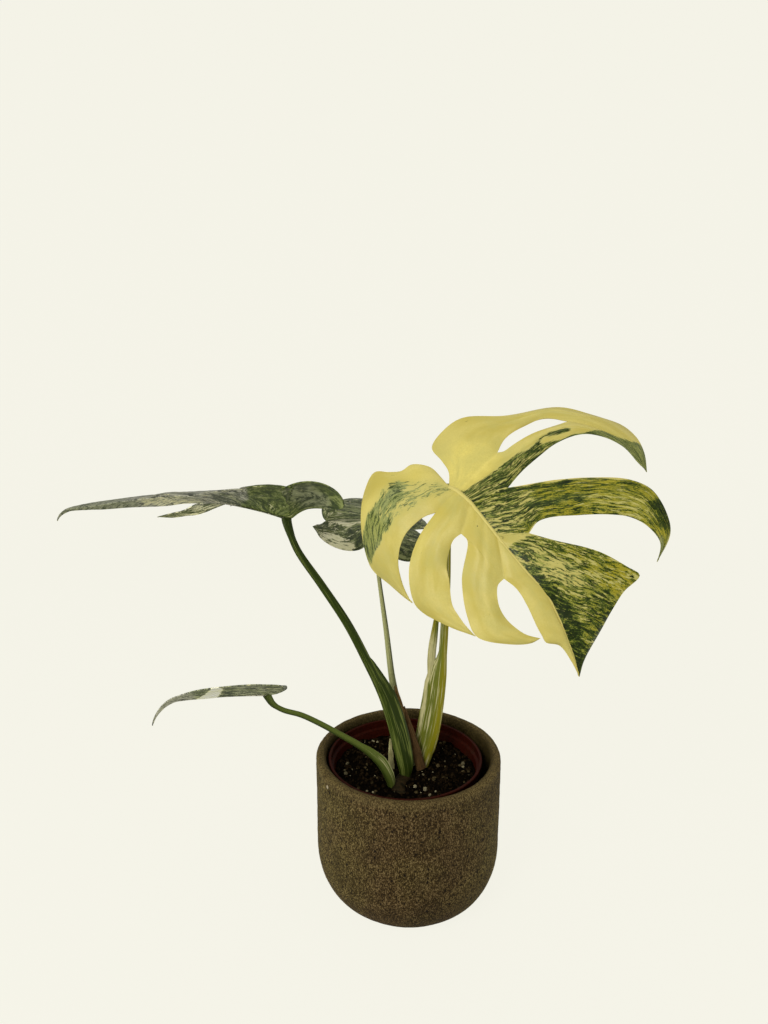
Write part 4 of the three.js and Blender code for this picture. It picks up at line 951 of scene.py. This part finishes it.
class Shader:
    """A material under construction. Its methods add nodes and return their output."""

    def __init__(self, name):
        self.material = bpy.data.materials.new(name)
        self.material.use_nodes = True
        self.tree = self.material.node_tree
        self.surface = self.tree.nodes["Principled BSDF"]

    def node(self, kind, inputs, **settings):
        made = self.tree.nodes.new(kind)
        for key, value in settings.items():
            setattr(made, key, value)
        for key, value in inputs.items():
            self.put(made.inputs[key], value)
        return made

    def put(self, socket, value):
        if isinstance(value, bpy.types.NodeSocket):
            self.tree.links.new(value, socket)
        else:
            socket.default_value = value

    def fact(self, name):
        return self.node("ShaderNodeAttribute", {}, attribute_name=name).outputs["Fac"]

    def math(self, operation, a, b=0.0, clamp=False):
        return self.node("ShaderNodeMath", {0: a, 1: b}, operation=operation, use_clamp=clamp).outputs[0]

    def plus(self, a, b, clamp=False):
        return self.math("ADD", a, b, clamp)

    def minus(self, a, b):
        return self.math("SUBTRACT", a, b)

    def times(self, a, b):
        return self.math("MULTIPLY", a, b)

    def weighted(self, *pairs):
        """The sum of values, each times its weight."""
        return functools.reduce(self.plus, [self.times(value, weight) for value, weight in pairs])

    def cover(self, share, grain, gain, edge):
        """Where a marking lies: over about that share of the grain, its rim sharper with a larger edge."""
        spread = self.plus(self.times(self.minus(grain, 0.5), gain), 0.5)
        level = self.minus(self.times(share, 1.3), 0.15)
        return self.plus(self.times(self.minus(level, spread), edge), 0.5, clamp=True)

    def vector(self, x, y, z):
        return self.node("ShaderNodeCombineXYZ", {0: x, 1: y, 2: z}).outputs[0]

    def stretched(self, where, stretch, shift=(0, 0, 0)):
        inputs = {"Vector": where, "Scale": stretch, "Location": shift}
        return self.node("ShaderNodeMapping", inputs).outputs[0]

    def place(self, stretch=(1, 1, 1)):
        return self.stretched(self.node("ShaderNodeTexCoord", {}).outputs["Object"], stretch)

    def length(self, where, origin=(0, 0, 0)):
        inputs = {0: where, 1: origin}
        return self.node("ShaderNodeVectorMath", inputs, operation="DISTANCE").outputs["Value"]

    def noise(self, where, scale, detail=3.0, rough=0.55):
        inputs = {"Vector": where, "Scale": scale, "Detail": detail, "Roughness": rough}
        return self.node("ShaderNodeTexNoise", inputs).outputs["Fac"]

    def streaks(self, where, across, along, detail, rough=0.55, shift=(0, 0, 0)):
        """Noise that is as many times finer across a lobe, and along it, as given."""
        return self.noise(self.stretched(where, (across, along, 1), shift), 1.0, detail, rough)

    def span(self, value, low, high, to_low=0.0, to_high=1.0):
        inputs = {0: value, 1: low, 2: high, 3: to_low, 4: to_high}
        return self.node("ShaderNodeMapRange", inputs, interpolation_type="SMOOTHSTEP").outputs[0]

    def mix(self, share, a, b, blend="MIX"):
        inputs = {0: share, 6: a, 7: b}
        settings = {"data_type": "RGBA", "blend_type": blend, "clamp_result": True}
        return self.node("ShaderNodeMix", inputs, **settings).outputs[2]

    def fade(self, a, b, value, low, high, most=1.0):
        """From a towards b as a value goes from low to high, ending at the share most of b."""
        return self.mix(self.span(value, low, high, 0.0, most), a, b)

    def finish(self, color, roughness, height=None, strength=0.0, distance=0.0, specular=0.0):
        """The material with that surface, and with bumps from height, if given, of so many metres."""
        self.put(self.surface.inputs["Base Color"], color)
        self.put(self.surface.inputs["Roughness"], roughness)
        self.put(self.surface.inputs["Specular IOR Level"], specular)
        if height is not None:
            inputs = {"Height": height, "Strength": strength, "Distance": distance}
            self.put(self.surface.inputs["Normal"], self.node("ShaderNodeBump", inputs).outputs[0])
        return self.material


def leaf_material(name, seed, specular, under_gain, palette):
    """Variegated leaf: streaks of green over cream, guided by the painted facts."""
    s = Shader(name)
    tones = {key: linear(*value) for key, value in palette.items()}
    across, along, under, tint = (s.fact(key) for key in ("across", "along", "under", "tint"))
    straight = s.vector(across, along, seed)
    drift = s.times(s.streaks(straight, 0.055, 0.035, 2.0), 10.0)
    where = s.vector(s.plus(across, drift), along, seed)
    fine = s.noise(s.place(), 900, 3.0, 0.6)

    # Where the green lies
    streak = s.streaks(where, 0.5, 0.075, 5.0, 0.68)
    fleck = s.streaks(where, 1.15, 0.3, 3.0, 0.6)
    speck = s.minus(s.streaks(where, 2.2, 0.9, 2.0, 0.6), 0.5)
    patch = s.streaks(where, 0.17, 0.035, 3.0, 0.6)
    grain = s.weighted((streak, 0.58), (fleck, 0.28), (patch, 0.14), (speck, 0.1))
    cover = s.cover(s.fact("green"), grain, 4.5, 7.0)

    # Its shades, with a silvery grey over some of it: partly the leaf's own grey-green, partly a painted
    # sheen
    second = s.minus(s.streaks(where, 0.6, 0.11, 5.0, 0.68, (31, 17, 3)), 0.5)
    shade = s.plus(s.fact("dark"), s.weighted((second, 5.2), (speck, 2.2)), clamp=True)
    green = s.fade(s.mix(tint, tones["light"], tones["olive"]), tones["middle"], shade, 0.0, 0.5)
    green = s.fade(green, tones["deep"], shade, 0.42, 0.92)
    bloom_and_sheen = s.fade(tones["bloom_and_sheen"], tones["deep_bloom_and_sheen"], shade, 0.1, 0.9)
    green = s.mix(s.times(s.fact("grey"), 0.8), green, bloom_and_sheen)

    # The cream, duller where some green shows through
    cream = s.fade(tones["cream"], tones["pale_cream"], s.streaks(straight, 0.06, 0.03, 3.0, 0.5), 0.35, 0.65)
    # Brighter yellow near the joint: partly the cream's own tone, partly a painted highlight
    cream = s.mix(s.fact("lemon"), cream, tones["lemon"])
    stained = s.streaks(straight, 0.035, 0.05, 3.0, 0.55, (7, 5, 2))
    cream = s.fade(cream, tones["dull_cream"], stained, 0.42, 0.68, 0.4)
    dulled = s.plus(s.times(tint, 0.5), s.times(s.fact("green"), 0.75), clamp=True)
    cream = s.mix(dulled, cream, tones["dull_cream"])
    cream = s.fade(cream, tones["cream"], fine, 0.3, 0.7, 0.3)

    # Veins, the midrib and the underside, paler partly in its own colour and partly as painted light
    color = s.mix(cover, cream, green)
    vein_color = s.mix(cover, tones["dull_cream"], tones["light"])
    color = s.mix(s.times(s.fact("vein"), 0.5), color, vein_color)
    color = s.mix(s.times(s.fact("side_vein"), 0.22), color, vein_color)
    color = s.mix(s.times(s.fact("rib"), s.minus(1.0, cover)), color, tones["pale_cream"])
    # Painted light: the underside's colour is brightened by the gain, on top of its own paler tone
    paler_and_lit = s.mix(1.0, color, (under_gain, under_gain, under_gain * 0.95, 1.0), "MULTIPLY")
    color = s.mix(under, color, paler_and_lit)
    roughness = s.plus(s.span(fine, 0.2, 0.8, 0.3, 0.42), s.times(under, 0.18))
    height = s.minus(s.weighted((fine, 0.35), (fleck, 0.4)), s.times(cover, 0.12))
    return s.finish(color, roughness, height, 0.3, 0.0006, specular)


def stalk_material(name, dark, side, pale, seed):
    """Striped stalk: fine pale lines along a ground that turns to another colour away from the fold."""
    s = Shader(name)
    round_x = s.fact("round_x")
    along = s.times(s.fact("along"), 0.006)
    where = s.stretched(s.vector(round_x, s.fact("round_y"), along), (1, 1, 1), (seed, seed, seed))
    line = s.noise(s.stretched(where, (1, 1, 0.6)), 12.0, 2.0, 0.55)
    stripes = s.weighted((s.noise(where, 3.6, 2.0, 0.5), 0.5), (line, 0.5))
    cover = s.cover(s.fact("pale"), stripes, 3.6, 3.5)
    fine = s.noise(s.place((1, 1, 0.25)), 700, 3.0, 0.6)
    ground = s.fade(side, dark, round_x, -0.6, 0.6)
    ground = s.fade(ground, s.fade(side, dark, line, 0.3, 0.7), fine, 0.3, 0.7, 0.3)
    color = s.mix(cover, ground, s.fade(pale, dimmed(pale, 0.8), fine, 0.3, 0.7))
    return s.finish(color, s.span(fine, 0.2, 0.8, 0.4, 0.55), s.plus(fine, line), 0.3, 0.0005, 0.12)


def stoneware_material():
    """Rough fired clay: a close grain of dark, brown and tan, with pits, a smoother lip and one chip."""
    s = Shader("speckled_stoneware")
    where = s.place()
    split = s.node("ShaderNodeSeparateXYZ", {0: where}).outputs
    grain = s.noise(s.place((1, 1, 0.5)), 950, 3.0, 0.7)
    fine = s.noise(s.place((1, 1, 0.5)), 1900, 2.0, 0.6)
    coarse = s.noise(s.place((1, 1, 0.7)), 180, 4.0, 0.65)
    mixed = s.weighted((grain, 0.55), (fine, 0.35), (coarse, 0.1))

    # The grain's three colours, lighter and more olive towards the left and right sides as a painted sheen,
    # and more olive in broad patches
    # Painted sheen: the pot's left and right sides turn lighter and more olive; the broad patches add real
    # olive tone
    edge = s.span(s.math("ABSOLUTE", split[0]), 0.02, 0.07)
    broad = s.span(s.noise(where, 26, 3.0, 0.55), 0.4, 0.62, 0.0, 0.4)
    olive = s.plus(s.times(edge, 0.6), broad, clamp=True)
    low = s.mix(olive, linear(24, 16, 5), linear(24, 18, 4))
    middle = s.mix(olive, linear(63, 48, 22), linear(68, 57, 24))
    high = s.mix(olive, linear(120, 101, 68), linear(128, 114, 70))
    color = s.fade(s.fade(low, middle, mixed, 0.4, 0.5), high, mixed, 0.5, 0.6)
    color = s.fade(color, low, s.noise(s.place((1, 1, 0.8)), 38, 3.0, 0.6), 0.42, 0.66, 0.3)

    # Pits in some cells of a pattern
    cells = s.node("ShaderNodeTexVoronoi", {"Vector": s.place((1, 1, 0.8)), "Scale": 230}).outputs
    drawn_lot = s.node("ShaderNodeSeparateColor", {0: cells["Color"]}).outputs[0]
    pit = s.times(s.span(cells["Distance"], 0.12, 0.34, 1.0, 0.0), s.span(drawn_lot, 0.74, 0.78))
    pit = s.times(pit, s.span(fine, 0.25, 0.4))
    color = s.mix(s.times(pit, 0.95), color, linear(18, 12, 5))

    # The lip, the painted shade on the inner wall and the inner half of the lip, and the chip below the lip
    lip_color = s.fade(linear(54, 43, 20), linear(112, 97, 60), mixed, 0.42, 0.58)
    color = s.fade(color, lip_color, split[2], *LIP_FADE, 0.6)
    # Painted shade: darker inside the pot, on the inner wall and the inner half of the lip
    inside = s.times(s.span(s.length(s.place((1, 1, 0))), *INNER_SHADE_FADE, 1.0, 0.0), s.span(split[2], 0.02, 0.04))
    color = s.mix(s.times(inside, 0.7), color, linear(40, 33, 9))
    chip = s.span(s.length(where, CHIP), 0.001, 0.0018, 0.85, 0.0)
    color = s.mix(chip, color, linear(170, 158, 132))
    height = s.minus(s.plus(grain, s.times(fine, 0.6)), pit)
    return s.finish(color, s.span(mixed, 0.35, 0.65, 0.6, 0.85), height, 0.5, 0.0008, 0.08)


def plastic_material():
    s = Shader("dark_red_plastic")
    fine = s.noise(s.place(), 500)
    color = s.fade(linear(38, 10, 4), linear(54, 16, 7), fine, 0.3, 0.7)
    color = s.fade(color, linear(46, 26, 15), s.noise(s.place(), 60, 4.0, 0.6), 0.5, 0.72, 0.5)
    return s.finish(color, s.span(fine, 0.2, 0.8, 0.4, 0.55), fine, 0.15, 0.0003, 0.04)


def soil_material(name, low, high):
    """Dark crumbly soil with fibres. One grain in ten is a pale chip."""
    s = Shader(name)
    grain = s.noise(s.place(), 700, 5.0, 0.7)
    color = s.fade(linear(*low), linear(*high), grain, 0.35, 0.65)
    color = s.fade(color, linear(60, 44, 28), s.noise(s.place((1, 0.3, 1)), 900, 2.0), 0.68, 0.74, 0.6)
    chip = s.fade(linear(50, 42, 26), linear(92, 80, 54), grain, 0.35, 0.65)
    color = s.fade(color, chip, s.fact("grain"), 0.9, 0.93)
    return s.finish(color, s.span(grain, 0.2, 0.8, 0.8, 1.0), grain, 0.9, 0.0015)


def perlite_material():
    """Pale grains, some of them stained with soil."""
    s = Shader("perlite")
    grain = s.noise(s.place(), 1400, 4.0, 0.7)
    color = s.fade(linear(98, 88, 60), linear(166, 158, 128), grain, 0.35, 0.65)
    color = s.mix(s.span(s.fact("grain"), 0.3, 0.8, 0.75, 0.0), color, linear(62, 54, 34))
    return s.finish(color, s.span(grain, 0.2, 0.8, 0.7, 0.95), grain, 0.7, 0.0008, 0.1)


def bract_material(name, dark, light):
    """Papery scale with fibres along it."""
    s = Shader(name)
    where = s.vector(s.times(s.fact("around"), 11.0), s.times(s.fact("along"), 0.1), 0.0)
    fibre = s.noise(where, 1.0, 5.0, 0.7)
    fine = s.noise(s.place(), 800)
    color = s.fade(s.fade(dark, light, fibre, 0.36, 0.62), dimmed(dark, 0.5), fine, 0.55, 0.75, 0.4)
    return s.finish(color, s.span(fine, 0.2, 0.8, 0.6, 0.85), s.plus(fibre, fine), 0.5, 0.0008, 0.06)


def stem_material():
    """Dull skin with rings round the stem."""
    s = Shader("stem_skin")
    where = s.vector(s.times(s.fact("along"), 0.35), s.fact("round_x"), s.fact("round_y"))
    rings = s.noise(where, 1.0, 4.0, 0.6)
    fine = s.noise(s.place(), 600, 4.0, 0.65)
    color = s.fade(linear(24, 21, 9), linear(50, 38, 20), rings, 0.35, 0.65)
    color = s.fade(color, linear(26, 20, 10), fine, 0.5, 0.7, 0.5)
    return s.finish(color, s.span(fine, 0.2, 0.8, 0.55, 0.8), s.plus(rings, fine), 0.6, 0.001, 0.06)


# Assembly

def piece(made, material, node):
    """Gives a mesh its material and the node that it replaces."""
    made.data.materials.clear()
    made.data.materials.append(material)
    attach(made, "root")
    if node:
        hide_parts(node)


piece(mesh_object("cover_pot", *cover_pot(), sharp=50), stoneware_material(), "outer_pot")
piece(nursery_pot(), plastic_material(), "nursery_pot")
peaty = soil_material("peaty_soil", (3, 3, 2), (18, 13, 8))
piece(mesh_object("potting_mix", *soil_body()), peaty, "soil")

crumbs = mesh_object("soil_crumbs", *merged(scattered(CRUMB_COUNT, (0.5, 2.1), 55.5)))
piece(crumbs, soil_material("soil_crumb", (4, 3, 2), (44, 34, 21)), None)
perlite = [lump(on_soil(x, y, size * 0.3), size, i) for i, (x, y, size) in enumerate(PERLITE)]
perlite += scattered(SMALL_PERLITE_COUNT, (0.3, 0.9), 55)
piece(mesh_object("perlite_bits", *merged(perlite)), perlite_material(), None)

roots = [stalk(root_route(i), 40, 14, 0.0, 0.4) for i in range(ROOT_COUNT)]
stem = mesh_object("creeping_stem", *merged([stalk(STEM, 60, 28, 0.0, 1.2), *roots]))
piece(stem, stem_material(), "stem")

for name, routes, node, dark, side, pale in (
    ("stalk_big", (BIG_STALK, FREE_SHEATH), "petiole_big", (96, 104, 34), (132, 126, 18), (196, 190, 138)),
    ("stalk_left", (LEFT_STALK,), "petiole_left", (37, 49, 7), (46, 60, 8), (106, 116, 54)),
    ("stalk_back", (BACK_STALK,), "petiole_back", (150, 152, 100), (44, 52, 20), (176, 176, 130)),
    ("stalk_small", (SMALL_STALK,), "petiole_small", (80, 92, 34), (46, 56, 16), (156, 156, 106)),
):
    material = stalk_material(name, linear(*dark), linear(*side), linear(*pale), len(node))
    piece(mesh_object(name, *merged([stalk(route) for route in routes])), material, node)

CREAM_PALETTE = {
    "deep": (20, 32, 0), "middle": (62, 80, 14), "light": (136, 146, 74), "olive": (154, 143, 34),
    "bloom_and_sheen": (136, 142, 94), "deep_bloom_and_sheen": (64, 78, 40), "cream": (180, 165, 78),
    "pale_cream": (198, 185, 106), "lemon": (218, 203, 110), "dull_cream": (176, 172, 102),
}
GREEN_PALETTE = {
    "deep": (22, 33, 8), "middle": (62, 73, 26), "light": (130, 137, 90), "olive": (98, 104, 44),
    "bloom_and_sheen": (152, 150, 138), "deep_bloom_and_sheen": (56, 58, 50), "cream": (200, 194, 160),
    "pale_cream": (216, 212, 186), "lemon": (210, 200, 140), "dull_cream": (156, 156, 112),
}
LEFT_TONES = {"deep": (36, 47, 15), "light": (110, 118, 74), "dull_cream": (136, 138, 92)}
BACK_TONES = {"deep": (34, 44, 14), "middle": (70, 80, 36), "light": (116, 122, 76)}

for name, blade, fine, columns, node, slot_name, specular, under_gain, palette in (
    ("leaf_big", BIG, 7, 28, "blade_big", "cream_blade", 0.16, 1.3, CREAM_PALETTE),
    ("leaf_left", LEFT, 6, 22, "blade_left", "green_blade", 0.24, 2.1, {**GREEN_PALETTE, **LEFT_TONES}),
    ("leaf_back", BACK, 6, 20, "blade_back", "green_blade", 0.16, 1.4, {**GREEN_PALETTE, **BACK_TONES}),
    ("leaf_small", SMALL, 9, 28, "blade_small", "green_blade", 0.24, 2.1, GREEN_PALETTE),
):
    material = leaf_material(name, len(node), specular, under_gain, palette)
    piece(blade_object(name, blade, fine, columns), material, node)

for name, foot, tip, half_width, facing, taper, dark, light, slot_name in (
    ("front", (10.5, -3, 105), (-3.6, 4, 157), 4.8, (0.35, -1, 0.1), 0.9, (40, 27, 13), (98, 74, 44),
     "dry_bract"),
    ("middle", (4, 0.5, 112), (-11, 14.5, 170), 3.6, (0.55, -0.85, 0), 0.5, (60, 42, 18), (128, 104, 60),
     "dry_bract"),
    ("pale", (-13.5, -2, 105), (-14.6, -1, 131), 2.9, (-0.3, -1, 0.2), 0.9, (124, 120, 74), (190, 184, 134),
     "pale_bract"),
):
    made = mesh_object("scale_" + name, *bract(foot, tip, half_width, facing, taper))
    piece(made, bract_material(made.name, linear(*dark), linear(*light)), "bract_" + name)

# Stage: a pale round bowl, with soft light from the front, both sides, above and all round

def stage_bowl():
    """A floor that curves up into a wall, pale by its own faint light, so that no shadow marks it."""
    profile = [(radius, FLOOR_Z) for radius in (0, 600, BOWL_RADIUS)]
    for a in np.linspace(0.05, 1.5, 24):
        profile.append((BOWL_RADIUS + BOWL_ROUND * math.sin(a), FLOOR_Z + BOWL_ROUND * (1 - math.cos(a))))
    points, faces = turned([*profile, (1720, 900), (1720, 2400)], 128)
    bowl = mesh_object("stage_floor", points, [face[::-1] for face in faces], sharp=180)
    s = Shader("stage_paper")
    s.surface.inputs["Emission Color"].default_value = BACKDROP
    s.surface.inputs["Emission Strength"].default_value = 0.97
    bowl.data.materials.append(s.finish((0.04, 0.039, 0.036, 1), 0.95))
    bowl.visible_diffuse = bowl.visible_glossy = bowl.visible_shadow = False


def soft_light(name, place, target, size, power, color):
    """A round soft light that faces a target."""
    light = bpy.data.lights.new(name, "AREA")
    light.shape, light.size, light.energy, light.color = "DISK", size, power, color
    made = bpy.data.objects.new(name, light)
    made.location = place
    made.rotation_euler = (Vector(target) - Vector(place)).to_track_quat("-Z", "Y").to_euler()
    bpy.context.scene.collection.objects.link(made)


def studio_light(strength):
    """Light from all round, a little stronger from above than from below."""
    world = bpy.data.worlds.new("studio")
    world.use_nodes = True
    nodes, links = world.node_tree.nodes, world.node_tree.links
    split = nodes.new("ShaderNodeSeparateXYZ")
    links.new(nodes.new("ShaderNodeTexCoord").outputs["Generated"], split.inputs[0])
    scale = nodes.new("ShaderNodeMapRange")
    links.new(split.outputs[2], scale.inputs[0])
    for i, value in enumerate((-1.0, 1.0, 0.75 * strength, strength), 1):
        scale.inputs[i].default_value = value
    nodes["Background"].inputs[0].default_value = (0.96, 0.95, 0.9, 1)
    links.new(scale.outputs[0], nodes["Background"].inputs[1])
    bpy.context.scene.world = world


stage_bowl()
soft_light("key", (-0.75, -1.2, 1.3), (0, 0, 0.25), 0.9, 19, (1.0, 0.98, 0.93))
soft_light("left", (-1.5, -0.4, 0.1), (0, 0, 0.1), 0.9, 9, (1.0, 0.98, 0.94))
soft_light("right", (1.5, -0.4, 0.1), (0, 0, 0.1), 0.9, 8, (1.0, 0.98, 0.94))
soft_light("top", (0.1, 0.6, 1.6), (0, 0, 0.3), 1.2, 3, (0.97, 0.99, 1.0))
studio_light(0.52)
bpy.context.scene.view_settings.view_transform = "Standard"

camera_data = bpy.data.cameras.new("camera")
camera_data.lens = CAMERA_LENS
camera_data.sensor_width = 36
camera = bpy.data.objects.new("camera", camera_data)
camera.location = CAMERA_PLACE
camera.rotation_euler = (math.radians(CAMERA_TILT), 0, 0)
bpy.context.scene.collection.objects.link(camera)
bpy.context.scene.camera = camera
